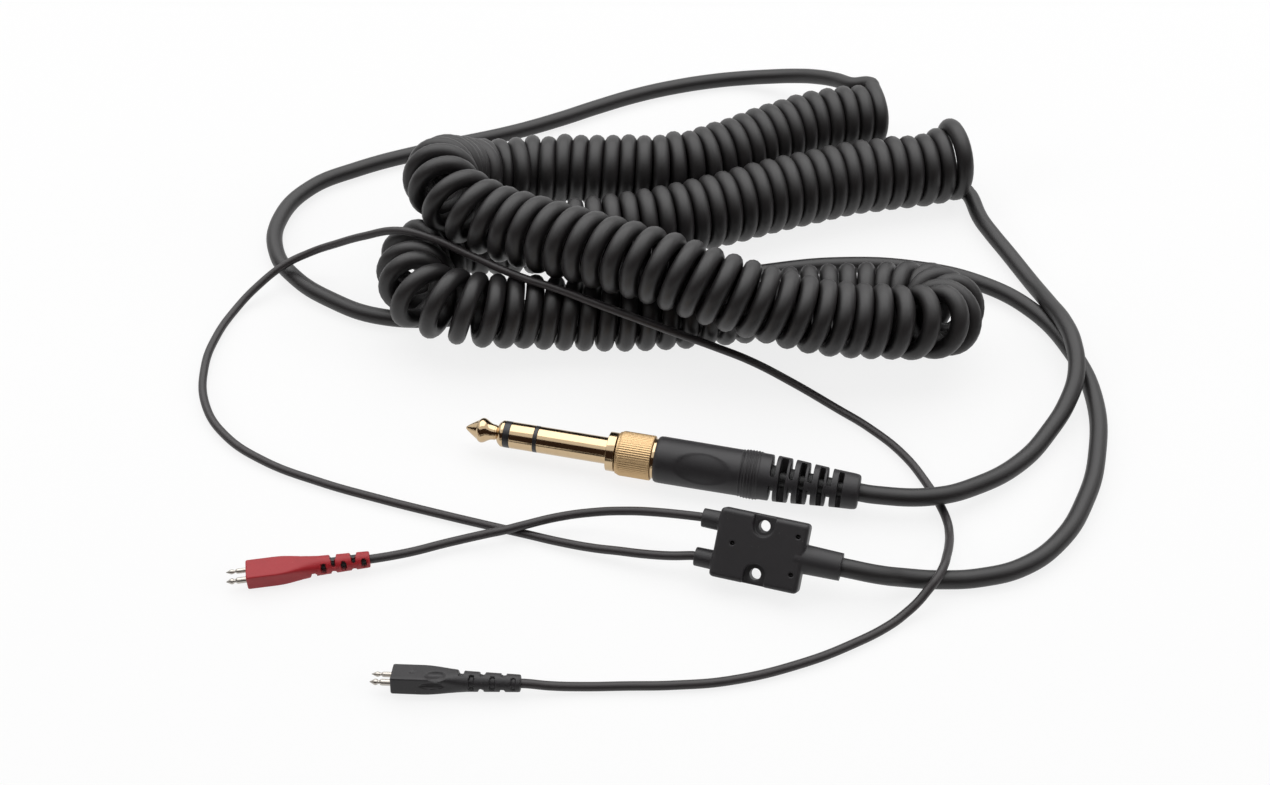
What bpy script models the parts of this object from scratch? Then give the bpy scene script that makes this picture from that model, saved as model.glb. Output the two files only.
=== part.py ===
"""Coiled headphone cable: jack plug with a screw-on adapter, curly cord, flat splitter and two pin plugs.

The cable lies on a table (z = 0) as it was put down.  Lengths are written in millimetres and
multiplied by MM where they become geometry, so the model itself is in metres.  +X is to the right,
+Y is away from the viewer and +Z is up.  Each connector is modelled along its own axis (local z,
from its contacts towards its cord) and is placed by an empty.
"""
import math

import bmesh
import bpy
import numpy as np
from mathutils import Matrix, Vector

MM = 0.001
GAP = 0.3                      # clearance kept between pieces that touch

# ---------------------------------------------------------------- cords
CORD_D = 4.15                  # round cord, jack to coil to splitter
LEAD_D = 2.05                  # thin leads, splitter to pin plugs
COIL_CURLS = 90                # whole turns of the curly part
CURL_POINTS = 8                # points on each turn
COIL_END_RUN = 4.4             # straight run at either end of the curly part
LEAST_PITCH = 5.2              # on the inside of a fold

# ---------------------------------------------------------------- 6.35 mm adapter, local z from its tip
JACK_D = 6.35
TIP_END = 8.8
TIP_RING_END = 10.3            # rear of the insulator between tip and ring
RING_END = 15.8
RING_SLEEVE_END = 16.8         # rear of the insulator between ring and sleeve
SLEEVE_END = 33.3
FLANGE_END = 35.4
FLANGE_D = 9.2
COLLAR_END = 43.7
COLLAR_D = 10.7
KNURLS = 32
KNURL_DEPTH = 0.35
SOCKET_D = 5.0                 # bore of the sleeve, round the socket liner
SOCKET_START = 22.0

# ---------------------------------------------------------------- 3.5 mm plug inside the adapter
MINI_D = 3.5
MINI_TIP = 26.0                # front of the small plug, on the adapter's scale
MINI_TIP_END = 29.2
MINI_TIP_RING_END = 29.9
MINI_RING_END = 32.4
MINI_RING_SLEEVE_END = 33.1
MINI_SHOULDER = 39.9
THREAD_D = 6.4
FERRULE_D = 9.3

# ---------------------------------------------------------------- moulded boot of the jack
BOOT_START = 44.8
BOOT_END = 92.3
BOOT_D = 10.9
BOOT_TAIL_D = 8.3
BOOT_BORE_D = CORD_D + 2 * GAP
BOOT_BORE_START = 70.4
BOOT_SLOT_PITCH = 4.4
BOOT_SLOTS = 4
JACK_POSE = ((-40.0, -18.2, 5.55), -12.3, 45.0)     # tip, heading and roll in degrees

# ---------------------------------------------------------------- splitter block
BLOCK = (20.0, 15.6, 6.5)      # along the cords, across them, thick
BLOCK_ROUND = 1.0
HOLE_D = 2.6
HOLE_SEAT_D = 4.8
HOLE_SEAT_DEPTH = 1.6
HOLE_AT = (0.0, 5.4)           # along, and up and down from the middle
MOULD_MARKS = ((-6.6, 0.0), (7.5, 4.4), (7.5, -4.3))
MOULD_MARK_D = 0.9
CORE = (11.0, 4.2, 2.4)        # inner block that carries the soldered joints
NECK_D = 4.0
NECK_LENGTH = 4.7
NECK_OUT = 4.15                # each lead's distance from the middle
RELIEF_LENGTH = 8.2
RELIEF_D = (6.65, 5.5)
SPLITTER_POSE = ((28.4, -58.4, 7.9), -17.0, 45.0)   # middle, heading and tilt in degrees

# ---------------------------------------------------------------- two-pin plugs, local z from the front face
PLUG_W = 5.3                   # across both pins
PLUG_T = 4.1
PLUG_LENGTH = 27.3
PIN_PITCH = 2.8
PIN_D = (1.25, 1.0)            # the two pins differ, so the plug fits one way round
PIN_OUT = 4.6
PLUG_BORE_D = LEAD_D + 2 * GAP
PLUG_BORE_START = 15.6
PLUG_SLOT_PITCH = 4.55
CARRIER = (2.3, 4.0, 4.4)      # insulator that holds the pins: thick, wide and deep
CARRIER_FRONT = 1.5
RED_POSE = ((-86.3, -61.4, 2.52), 9.6, 10.0)
BLACK_POSE = ((-51.2, -89.8, 2.47), -1.0, -8.0)

# ---------------------------------------------------------------- finishes: colour, roughness, metallic
GOLD = ((0.78, 0.57, 0.25), 0.22, 1.0)
NICKEL = ((0.62, 0.6, 0.57), 0.3, 1.0)
RUBBER = ((0.022, 0.022, 0.024), 0.55, 0.0)
RED = ((0.4, 0.025, 0.03), 0.5, 0.0)
INSULATOR = ((0.015, 0.015, 0.016), 0.4, 0.0)
JACKET = ((0.02, 0.02, 0.022), 0.6, 0.0)

# Middle of the table that the connectors cover: the origin stands under the middle of their box.
ORIGIN = (-20.104, -54.367)

# The curly cord's axis as it lies folded: x, y, height and the radius of its turns.
COIL_AXIS = (
    (89.0, 79.0, 11.1, 9.0), (80.0, 77.5, 9.9, 7.8), (70.0, 76.0, 9.9, 7.8), (59.0, 73.5, 9.9, 7.8),
    (47.0, 69.5, 9.9, 7.8), (36.0, 65.5, 9.9, 7.8), (25.0, 61.0, 9.8, 7.7), (10.0, 55.5, 9.7, 7.6),
    (-6.0, 51.5, 9.6, 7.5), (-22.0, 49.0, 9.5, 7.4), (-37.0, 48.5, 9.5, 7.4), (-49.0, 46.0, 9.5, 7.4),
    (-57.0, 38.0, 11.0, 7.3), (-57.5, 27.5, 13.8, 7.3), (-53.0, 20.0, 14.4, 7.3), (-46.0, 16.5, 14.2, 7.2),
    (-38.0, 16.5, 12.6, 7.2), (-28.0, 18.5, 10.6, 7.2), (-16.0, 18.7, 9.4, 7.2), (-2.0, 18.5, 9.3, 7.2),
    (12.0, 19.5, 9.3, 7.2), (27.0, 21.5, 9.3, 7.2), (42.0, 23.3, 9.2, 7.1), (55.0, 24.4, 9.2, 7.1),
    (66.0, 24.0, 9.3, 7.0), (73.1, 21.2, 10.5, 6.9), (76.1, 14.7, 13.2, 6.9), (73.1, 8.2, 15.9, 6.9),
    (66.0, 5.6, 17.0, 7.0), (56.0, 5.9, 17.6, 7.1), (45.0, 6.4, 19.4, 7.2), (32.5, 7.6, 22.2, 7.2),
    (19.0, 10.0, 25.6, 7.2), (7.0, 14.0, 28.0, 7.2), (-9.0, 21.0, 28.0, 7.2), (-25.0, 29.0, 27.0, 7.3),
    (-34.5, 34.0, 26.6, 7.3), (-42.0, 37.5, 28.2, 7.3), (-48.0, 42.5, 29.2, 7.4), (-51.5, 50.0, 28.4, 7.4),
    (-51.5, 58.5, 25.0, 7.4), (-48.5, 67.5, 18.4, 7.5), (-42.0, 74.8, 12.0, 7.5), (-33.0, 77.3, 9.8, 7.5),
    (-20.0, 77.5, 9.6, 7.5), (-6.0, 77.5, 9.6, 7.5), (7.0, 78.0, 9.6, 7.5), (17.0, 80.5, 9.6, 7.5),
    (27.0, 85.5, 9.6, 7.5), (38.0, 92.0, 9.6, 7.5), (50.0, 98.0, 9.6, 7.5), (61.0, 102.0, 9.6, 7.5),
    (69.0, 104.5, 9.6, 7.5),
)

# The free stretches' routes over the table, between the ends that the connectors and the coil give.
JACK_CORD_ROUTE = (
    (68.0, -39.5, 5.2), (79.0, -35.0, 3.6), (91.5, -25.5, 2.2), (99.5, -15.5, 2.6), (104.5, -6.0, 4.0),
    (107.7, 2.0, 5.7), (108.9, 11.0, 6.9), (108.6, 19.0, 7.0), (107.2, 28.0, 5.6), (104.0, 40.0, 2.8),
    (99.2, 53.0, 2.1), (95.0, 64.0, 2.1),
)
SPLITTER_CORD_ROUTE = (
    (61.5, 116.5, 14.6), (54.0, 123.5, 9.6), (45.5, 129.5, 4.6), (35.0, 132.0, 2.2), (23.0, 130.0, 2.1),
    (11.0, 125.5, 2.1), (-1.0, 121.0, 2.1), (-13.0, 116.0, 2.1), (-35.0, 105.5, 2.1), (-58.0, 97.0, 2.1),
    (-78.0, 88.0, 2.1), (-90.0, 79.5, 2.1), (-96.5, 66.0, 2.1), (-95.5, 51.5, 2.1), (-89.0, 41.0, 2.1),
    (-79.0, 32.5, 2.1), (-66.0, 26.0, 2.1), (-48.0, 25.0, 2.1), (-29.0, 29.0, 2.1), (-9.0, 33.0, 2.1),
    (12.0, 38.0, 2.1), (33.0, 43.2, 2.1), (54.0, 46.3, 2.1), (74.0, 44.8, 2.1), (90.0, 39.0, 2.1),
    (102.0, 28.5, 2.1), (109.5, 13.0, 2.1), (112.3, -4.0, 2.1), (110.5, -20.0, 2.1), (105.0, -35.0, 2.1),
    (97.0, -48.5, 2.1), (86.5, -57.5, 2.1), (76.0, -62.0, 2.1), (67.0, -63.0, 2.2),
    (58.5, -64.6, 4.0),
)
RED_LEAD_ROUTE = (
    (-50.5, -54.6, 1.2), (-43.0, -52.0, 1.5), (-35.0, -49.6, 3.6), (-27.5, -47.5, 4.1), (-20.0, -45.0, 2.2),
    (-11.0, -43.0, 1.1), (-2.0, -43.0, 2.4), (5.0, -46.0, 6.2),
)
BLACK_LEAD_ROUTE = (
    (-16.0, -90.6, 1.1), (-5.0, -91.0, 1.1), (5.0, -90.8, 1.1), (20.0, -89.0, 1.1), (36.0, -84.5, 1.1),
    (47.0, -79.3, 1.1), (56.0, -74.0, 1.2), (61.8, -69.2, 4.2), (66.2, -64.3, 6.9), (69.2, -57.6, 5.0),
    (70.6, -51.0, 2.0), (70.8, -45.0, 1.1), (69.0, -37.5, 1.1), (65.0, -28.0, 1.1), (58.0, -16.5, 1.1),
    (48.5, -5.0, 1.1),
    (38.0, 4.0, 1.1), (29.0, 8.5, 2.6), (20.0, 8.9, 7.0), (11.0, 8.3, 11.9), (1.0, 9.6, 15.6),
    (-9.0, 12.0, 18.4), (-18.5, 15.4, 20.2), (-28.5, 19.0, 21.4), (-40.5, 25.6, 22.4), (-51.0, 31.6, 23.3),
    (-60.0, 35.4, 22.6), (-69.0, 38.2, 18.6), (-77.0, 41.5, 13.4), (-85.0, 43.5, 8.6), (-91.5, 41.5, 6.2),
    (-98.0, 36.5, 3.4), (-103.0, 30.0, 1.2), (-106.5, 19.0, 1.1), (-107.5, 8.0, 1.1), (-105.0, -5.5, 1.1),
    (-98.5, -16.0, 1.1), (-88.0, -24.5, 1.1), (-74.0, -31.5, 1.1), (-58.0, -37.5, 1.1), (-42.0, -43.5, 1.1),
    (-30.0, -46.8, 1.1), (-18.0, -49.5, 1.1), (-6.0, -52.5, 1.1), (3.5, -55.0, 2.8),
)


# ================================================================ scene, materials and placing
def clear_scene():
    """Take every object out of the open file."""
    for item in list(bpy.data.objects):
        bpy.data.objects.remove(item, do_unlink=True)


def collection(name):
    """A new collection under the scene's own."""
    group = bpy.data.collections.new(name)
    bpy.context.scene.collection.children.link(group)
    return group


def material(name, finish):
    """A piece's own material, from its finish: colour, roughness and metallic."""
    colour, roughness, metallic = finish
    made = bpy.data.materials.new(name)
    made.use_nodes = True
    made.diffuse_color = (*colour, 1.0)
    shader = made.node_tree.nodes["Principled BSDF"]
    shader.inputs["Base Color"].default_value = (*colour, 1.0)
    shader.inputs["Roughness"].default_value = roughness
    shader.inputs["Metallic"].default_value = metallic
    return made


def empty(name, matrix, parent=None):
    """An empty that carries one connector; its z axis is the connector's own."""
    frame = bpy.data.objects.new(name, None)
    frame.empty_display_size = 5 * MM
    PARTS.objects.link(frame)
    frame.parent = parent
    frame.matrix_local = matrix
    return frame


def lying(pose):
    """Matrix of a connector that lies along the table: z along its heading, x up before its roll."""
    place, heading, roll = pose
    turn = math.radians(heading)
    along = Vector((math.cos(turn), math.sin(turn), 0.0))
    up = Vector((0.0, 0.0, 1.0))
    side = along.cross(up)
    frame = Matrix((up, side, along)).transposed().to_4x4()
    spot = Matrix.Translation(Vector(place) * MM)
    return spot @ frame @ Matrix.Rotation(math.radians(roll), 4, "Z")


def leaning(pose):
    """Matrix of the splitter: x along its cords, z out of its face, its lower edge on the table."""
    place, heading, tilt = pose
    spot = Matrix.Translation(Vector(place) * MM)
    turn = Matrix.Rotation(math.radians(heading), 4, "Z")
    return spot @ turn @ Matrix.Rotation(math.radians(tilt), 4, "X")


def add(name, mesh, finish, parent):
    """Link a mesh as a piece of the cable, shaded smooth with its sharp edges kept."""
    piece = bpy.data.objects.new(name, mesh)
    PARTS.objects.link(piece)
    piece.parent = parent
    mesh.materials.append(material(name, finish))
    mesh.shade_smooth()
    mesh.set_sharp_from_angle(angle=math.radians(35))
    return piece


# ================================================================ shapes
def revolve(piece, steps):
    """Turn the piece's outline about its z axis."""
    screw = piece.modifiers.new("turn", "SCREW")
    screw.axis = "Z"
    screw.steps = screw.render_steps = steps
    screw.use_merge_vertices = True
    screw.merge_threshold = 0.00001
    screw.use_smooth_shade = True


def outline_mesh(name, points, closed):
    """An edge chain through (radius, z) points in millimetres."""
    mesh = bpy.data.meshes.new(name)
    corners = [(radius * MM, 0.0, z * MM) for radius, z in points]
    count = len(corners)
    edges = [(i, i + 1) for i in range(count - 1)]
    if closed:
        edges.append((count - 1, 0))
    mesh.from_pydata(corners, edges, [])
    return mesh


def turned(name, outer, finish, parent, inner=None, steps=24):
    """A turned piece: outer and inner are (radius, z) from front to rear; a solid has no inner."""
    if inner is None:
        outline = [(0.0, outer[-1][1])] + outer[::-1] + [(0.0, outer[0][1])]
        outline = [p for i, p in enumerate(outline) if i == 0 or p != outline[i - 1]]
        piece = add(name, outline_mesh(name, outline, False), finish, parent)
    else:
        piece = add(name, outline_mesh(name, outer[::-1] + inner, True), finish, parent)
    revolve(piece, steps)
    return piece


def cutter(name, mesh, parent):
    """A shape that only cuts others."""
    tool = bpy.data.objects.new(name, mesh)
    CUTTERS.objects.link(tool)
    tool.parent = parent
    tool.hide_render = True
    tool.display_type = "WIRE"
    return tool


def combine(piece, tool, operation="DIFFERENCE"):
    """Cut the piece with the tool, or join the tool to it."""
    step = piece.modifiers.new(tool.name, "BOOLEAN")
    step.operation = operation
    step.object = tool
    step.solver = "EXACT"


def box_mesh(name, size, middle):
    """A box of the given size about a middle, both in millimetres."""
    mesh = bpy.data.meshes.new(name)
    shape = bmesh.new()
    bmesh.ops.create_cube(shape, size=1.0)
    bmesh.ops.scale(shape, vec=Vector(size) * MM, verts=shape.verts)
    bmesh.ops.translate(shape, vec=Vector(middle) * MM, verts=shape.verts)
    shape.to_mesh(mesh)
    shape.free()
    return mesh


def rod_mesh(name, radii, start, end, steps=18):
    """A round rod or cone between two points in millimetres."""
    mesh = bpy.data.meshes.new(name)
    shape = bmesh.new()
    run = Vector(end) - Vector(start)
    bmesh.ops.create_cone(shape, cap_ends=True, segments=steps, radius1=radii[0] * MM,
                          radius2=radii[1] * MM, depth=run.length * MM)
    turn = Vector((0, 0, 1)).rotation_difference(run).to_matrix().to_4x4()
    place = Matrix.Translation((Vector(start) + run / 2) * MM)
    bmesh.ops.transform(shape, matrix=place @ turn, verts=shape.verts)
    shape.to_mesh(mesh)
    shape.free()
    return mesh


def joined_mesh(name, meshes):
    """Separate closed shapes gathered in one mesh."""
    shape = bmesh.new()
    for mesh in meshes:
        shape.from_mesh(mesh)
        bpy.data.meshes.remove(mesh)
    joined = bpy.data.meshes.new(name)
    shape.to_mesh(joined)
    shape.free()
    return joined


def slot_mesh(name, places, width, reach, depth, sides):
    """Slots across a round tail: boxes that bite in from two opposite sides at each place."""
    boxes = []
    for z in places:
        for side in (-1, 1):
            middle = [0.0, 0.0, z]
            middle[sides] = side * (depth + reach / 2)
            size = [2 * reach, 2 * reach, width]
            size[sides] = reach
            boxes.append(box_mesh(name, size, middle))
    return joined_mesh(name, boxes)


# ================================================================ paths and tubes
def smooth_curve(points, step=0.4):
    """Points every step along a smooth curve through the given ones (Catmull-Rom, by chord)."""
    knots = np.asarray(points, float)
    chord = np.linalg.norm(np.diff(knots[:, :3], axis=0), axis=1)
    at = np.concatenate(([0.0], np.cumsum(chord)))
    slope = np.gradient(knots, at, axis=0)
    fine = []
    for i, length in enumerate(chord):
        t = np.linspace(0.0, 1.0, max(2, int(length / step)), endpoint=False)[:, None]
        fine.append((2 * t**3 - 3 * t**2 + 1) * knots[i] + (t**3 - 2 * t**2 + t) * length * slope[i]
                    + (3 * t**2 - 2 * t**3) * knots[i + 1] + (t**3 - t**2) * length * slope[i + 1])
    return np.vstack(fine + [knots[-1:]])


def run_lengths(points):
    """Length from the start to each point."""
    steps = np.linalg.norm(np.diff(points[:, :3], axis=0), axis=1)
    return np.concatenate(([0.0], np.cumsum(steps)))


def evenly(points, spacing):
    """The same curve read at an even spacing, both ends kept."""
    at = run_lengths(points)
    count = max(2, round(at[-1] / spacing) + 1)
    marks = np.linspace(0.0, at[-1], count)
    return np.column_stack([np.interp(marks, at, points[:, k]) for k in range(points.shape[1])])


def tube(name, points, diameter, sides, finish):
    """A round cord along the points, with filled ends, measured in millimetres."""
    curve = bpy.data.curves.new(name, "CURVE")
    curve.dimensions = "3D"
    line = curve.splines.new("POLY")
    line.points.add(len(points) - 1)
    for mark, point in zip(line.points, points):
        mark.co = (*(Vector(point) * MM), 1.0)
    curve.bevel_depth = diameter / 2 * MM
    curve.bevel_resolution = (sides - 4) // 2
    curve.use_fill_caps = True
    curve.materials.append(material(name, finish))
    cord = bpy.data.objects.new(name, curve)
    PARTS.objects.link(cord)
    cord.parent = TABLE
    return cord


def by_bend(points, count):
    """The same curve read at count points, which lie closer together where it bends."""
    at = run_lengths(points)
    along = np.gradient(points, at, axis=0)
    bend = np.linalg.norm(np.gradient(along, at, axis=0), axis=1)
    weight = np.convolve(np.pad(np.sqrt(bend + 0.004), 12, "edge"), np.ones(25) / 25, "valid")
    spent = np.concatenate(([0.0], np.cumsum(np.diff(at) * (weight[1:] + weight[:-1]) / 2)))
    marks = np.interp(np.linspace(0.0, spent[-1], count), spent, at)
    return np.column_stack([np.interp(marks, at, points[:, k]) for k in range(3)])


def coil_path():
    """The curly cord: a left-hand helix round the folded axis, with a straight run at each end."""
    axis = smooth_curve(COIL_AXIS)
    at = run_lengths(axis)
    middle, radius = axis[:, :3], axis[:, 3]
    along = np.gradient(middle, at, axis=0)
    along /= np.linalg.norm(along, axis=1)[:, None]
    bend = np.linalg.norm(np.gradient(along, at, axis=0), axis=1)
    bend = np.convolve(np.pad(bend, 10, "edge"), np.ones(21) / 21, "valid")
    down = np.array([0.0, 0.0, -1.0]) - along * -along[:, 2:3]
    down /= np.linalg.norm(down, axis=1)[:, None]
    side = np.cross(down, along)

    # Pitch: the turns open where a fold would press their inner sides together.
    inside = np.clip(1.0 - radius * bend, 0.16, 1.0)
    turns = COIL_CURLS + 0.5                  # starts under the axis and ends over it
    low, high = 4.3, 9.0
    for _ in range(40):
        pitch = np.maximum((low + high) / 2, LEAST_PITCH / inside**1.25)
        phase = np.concatenate(([0.0], np.cumsum(np.diff(at) / ((pitch[1:] + pitch[:-1]) / 2))))
        if phase[-1] > turns:
            low = (low + high) / 2
        else:
            high = (low + high) / 2
    marks = np.linspace(0.0, phase[-1], round(turns * CURL_POINTS) + 1)
    place = [np.interp(marks, phase, column) for column in (*middle.T, radius, *down.T, *side.T)]
    centre, size = np.column_stack(place[:3]), np.array(place[3])[:, None]
    downs, sides = np.column_stack(place[4:7]), np.column_stack(place[7:10])
    angle = (2 * math.pi * marks)[:, None]
    winding = centre + size * (np.cos(angle) * downs + np.sin(angle) * sides)
    start = winding[0] - COIL_END_RUN * unit(sides[0] + along[0] * pitch[0] / (2 * math.pi * radius[0]))
    end = winding[-1] + COIL_END_RUN * unit(-sides[-1] + along[-1] * pitch[-1] / (2 * math.pi * radius[-1]))
    return np.vstack((start, winding, end))


def unit(vector):
    """The vector at length one."""
    return vector / np.linalg.norm(vector)


def least_gap(points, diameter, skip):
    """Least clear space between stretches of a tube that are more than skip millimetres apart along it."""
    fine = evenly(points, diameter / 5)
    at = run_lengths(fine)
    least = 1e9
    for first in range(0, len(fine), 400):
        block = fine[first:first + 400]
        apart = np.linalg.norm(block[:, None, :] - fine[None, :, :], axis=2)
        far = np.abs(at[first:first + 400, None] - at[None, :]) > skip
        least = min(least, apart[far].min())
    return least - diameter


def cord_through(start, mouth, route, door, end, count):
    """A free stretch: straight from start to mouth, along its route, and straight from door to end."""
    middle = by_bend(smooth_curve(np.vstack((mouth, np.array(route, float), door))), count - 2)
    middle[:, 2] = np.maximum(middle[:, 2], min(p[2] for p in route))
    return np.vstack((start, middle, end))


def spot(frame, local):
    """A connector's own point, in millimetres on the table."""
    return np.array(frame.matrix_local @ (Vector(local) * MM)) / MM


# ================================================================ adapter
def build_adapter(frame):
    """The 6.35 mm jack: tip, ring and sleeve on insulators, a flange, a knurled collar and the socket."""
    barrel = JACK_D / 2
    ball = 2.95
    tip = [(0.35, 0.0), (0.9, 0.45), (2.3, 2.5), (ball, 3.3), (ball, 3.75), (2.6, 4.4), (1.95, 5.3),
           (1.8, 5.7), (1.95, 6.1), (2.6, 6.9), (barrel, 7.6), (barrel, TIP_END), (0.75, TIP_END),
           (0.75, SOCKET_START + 0.6)]
    turned("adapter_tip", tip, GOLD, frame)
    turned("adapter_tip_insulator",
           [(barrel, TIP_END + GAP), (barrel, TIP_RING_END), (1.5, TIP_RING_END), (1.5, SOCKET_START - 0.5)],
           INSULATOR, frame, inner=[(0.75 + GAP, TIP_END + GAP), (0.75 + GAP, SOCKET_START - 0.5)])
    turned("adapter_ring",
           [(barrel, TIP_RING_END + GAP), (barrel, RING_END), (2.2, RING_END), (2.2, SOCKET_START - 0.5)],
           GOLD, frame, inner=[(1.5 + GAP, TIP_RING_END + GAP), (1.5 + GAP, SOCKET_START - 0.5)])
    turned("adapter_ring_insulator",
           [(barrel, RING_END + GAP), (barrel, RING_SLEEVE_END), (SOCKET_D / 2 + 0.1, RING_SLEEVE_END),
            (SOCKET_D / 2 + 0.1, SOCKET_START - 0.5)],
           INSULATOR, frame, inner=[(2.2 + GAP, RING_END + GAP), (2.2 + GAP, SOCKET_START - 0.5)])
    flange = FLANGE_D / 2
    bore = SOCKET_D / 2 + 0.1 + GAP
    turned("adapter_sleeve",
           [(barrel, RING_SLEEVE_END + GAP), (barrel, SLEEVE_END), (flange - 0.3, SLEEVE_END),
            (flange, SLEEVE_END + 0.3), (flange, FLANGE_END - 0.3), (flange - 0.3, FLANGE_END)],
           GOLD, frame, inner=[(bore, RING_SLEEVE_END + GAP), (bore, FLANGE_END)], steps=28)
    liner = SOCKET_D / 2 + 0.1
    turned("adapter_socket_liner",
           [(liner, SOCKET_START), (liner, FLANGE_END - 0.2)], INSULATOR, frame,
           inner=[(MINI_D / 2 + GAP, SOCKET_START), (MINI_D / 2 + GAP, FLANGE_END - 0.2)], steps=20)
    build_collar(frame)


def build_collar(frame):
    """The knurled collar: a ribbed grip with plain chamfered ends, bored for the small plug's thread."""
    mesh = bpy.data.meshes.new("knurled_collar")
    shape = bmesh.new()
    rings = ((FLANGE_END + GAP, -0.8), (FLANGE_END + GAP + 0.8, 0.0), (COLLAR_END - 0.7, 0.0),
             (COLLAR_END, -0.8))
    outside = []
    for z, inset in rings:
        loop = []
        for i in range(2 * KNURLS):
            tooth = KNURL_DEPTH if i % 2 else 0.0
            radius = COLLAR_D / 2 + min(-tooth, inset)
            turn = math.pi * i / KNURLS
            loop.append(shape.verts.new((radius * math.cos(turn) * MM, radius * math.sin(turn) * MM, z * MM)))
        outside.append(loop)
    for lower, upper in zip(outside, outside[1:]):
        for i in range(2 * KNURLS):
            j = (i + 1) % (2 * KNURLS)
            shape.faces.new((lower[i], lower[j], upper[j], upper[i]))
    shape.faces.new(outside[0][::-1])
    shape.faces.new(outside[-1])
    shape.to_mesh(mesh)
    shape.free()
    collar = add("knurled_collar", mesh, GOLD, frame)
    bore = THREAD_D / 2 + GAP
    hole = rod_mesh("collar_bore", (bore, bore), (0, 0, FLANGE_END - 1), (0, 0, COLLAR_END + 1))
    combine(collar, cutter("collar_bore", hole, frame))


# ================================================================ 3.5 mm plug and boot
def build_small_plug(frame):
    """The 3.5 mm plug that the adapter screws on to: nested contacts and a threaded ferrule."""
    pin = MINI_D / 2
    tip = [(0.3, MINI_TIP), (1.5, MINI_TIP + 1.4), (1.5, MINI_TIP + 1.8), (1.1, MINI_TIP + 2.4),
           (pin, MINI_TIP + 2.9), (pin, MINI_TIP_END), (0.35, MINI_TIP_END), (0.35, BOOT_START + 3.5)]
    turned("small_plug_tip", tip, GOLD, frame, steps=14)
    layers = (("small_plug_tip_insulator", MINI_TIP_END, MINI_TIP_RING_END, 0.65, INSULATOR, 3.0),
              ("small_plug_ring", MINI_TIP_RING_END, MINI_RING_END, 1.0, GOLD, 2.4),
              ("small_plug_ring_insulator", MINI_RING_END, MINI_RING_SLEEVE_END, 1.33, INSULATOR, 1.9))
    hole = 0.35 + 0.1
    for name, front, rear, stem, finish, tail in layers:
        end = BOOT_START + tail
        turned(name, [(pin, front + 0.1), (pin, rear), (stem - 0.1, rear), (stem - 0.1, end)], finish, frame,
               inner=[(hole, front + 0.1), (hole, end)], steps=14)
        hole = stem
    turned("small_plug_sleeve",
           [(pin, MINI_RING_SLEEVE_END + 0.1), (pin, BOOT_START + 1.2)], GOLD, frame,
           inner=[(hole, MINI_RING_SLEEVE_END + 0.1), (hole, BOOT_START + 1.2)], steps=14)
    thread = THREAD_D / 2
    ferrule = FERRULE_D / 2
    turned("threaded_ferrule",
           [(thread - 0.4, MINI_SHOULDER), (thread, MINI_SHOULDER + 0.4), (thread, COLLAR_END + GAP - 0.1),
            (ferrule - 0.2, COLLAR_END + GAP - 0.1), (ferrule, COLLAR_END + GAP + 0.1),
            (ferrule, BOOT_START - GAP)], GOLD, frame,
           inner=[(pin + 0.1, MINI_SHOULDER), (pin + 0.1, BOOT_START - GAP)])


def build_boot(frame):
    """The moulded boot: round grip with an oval hollow, fine bands, and a slotted tail round the cord."""
    front = BOOT_D / 2
    tail = BOOT_TAIL_D / 2
    slots_from = BOOT_START + 26.0
    bands = []
    for i in range(3):
        z = BOOT_START + 19.6 + 1.2 * i
        bands += [(5.3, z), (5.5, z + 0.4), (5.3, z + 0.8)]
    outer = ([(front - 0.9, BOOT_START), (front - 0.3, BOOT_START + 0.25), (front, BOOT_START + 0.9),
              (front - 0.05, BOOT_START + 10.0), (5.32, BOOT_START + 17.0)] + bands
             + [(5.3, slots_from), (tail + 0.15, BOOT_END - 5.0), (tail, BOOT_END - 0.9),
                (tail - 0.25, BOOT_END - 0.25), (tail - 0.9, BOOT_END)])
    bore = BOOT_BORE_D / 2
    hold = MINI_D / 2 + GAP
    inner_front = [(hold, BOOT_START), (hold, BOOT_START + 4.2), (0.0, BOOT_START + 4.2)]
    inner_rear = [(0.0, BOOT_BORE_START), (bore, BOOT_BORE_START), (bore, BOOT_END)]
    # The outline starts on the axis behind the small plug and ends on it in front of the cord's bore.
    outline = inner_rear + outer[::-1] + inner_front
    boot = add("plug_boot", outline_mesh("plug_boot", outline, False), RUBBER, frame)
    revolve(boot, 24)
    places = [slots_from + 2.9 + BOOT_SLOT_PITCH * i for i in range(BOOT_SLOTS)]
    across = [z - 1.6 for z in places]
    reach = 4.0
    facing = slot_mesh("boot_slots_facing", places, 1.05, reach, 2.95, 0)
    crossing = slot_mesh("boot_slots_across", across, 1.3, reach, 3.1, 1)
    combine(boot, cutter("boot_slots_facing", facing, frame))
    combine(boot, cutter("boot_slots_across", crossing, frame))
    hollow = bpy.data.meshes.new("grip_hollow")
    shape = bmesh.new()
    bmesh.ops.create_uvsphere(shape, u_segments=16, v_segments=10, radius=MM)
    bmesh.ops.scale(shape, vec=(0.9, 2.5, 6.3), verts=shape.verts)
    bmesh.ops.translate(shape, vec=Vector((5.85, 0, BOOT_START + 9.9)) * MM, verts=shape.verts)
    shape.to_mesh(hollow)
    shape.free()
    combine(boot, cutter("grip_hollow", hollow, frame))


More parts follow.
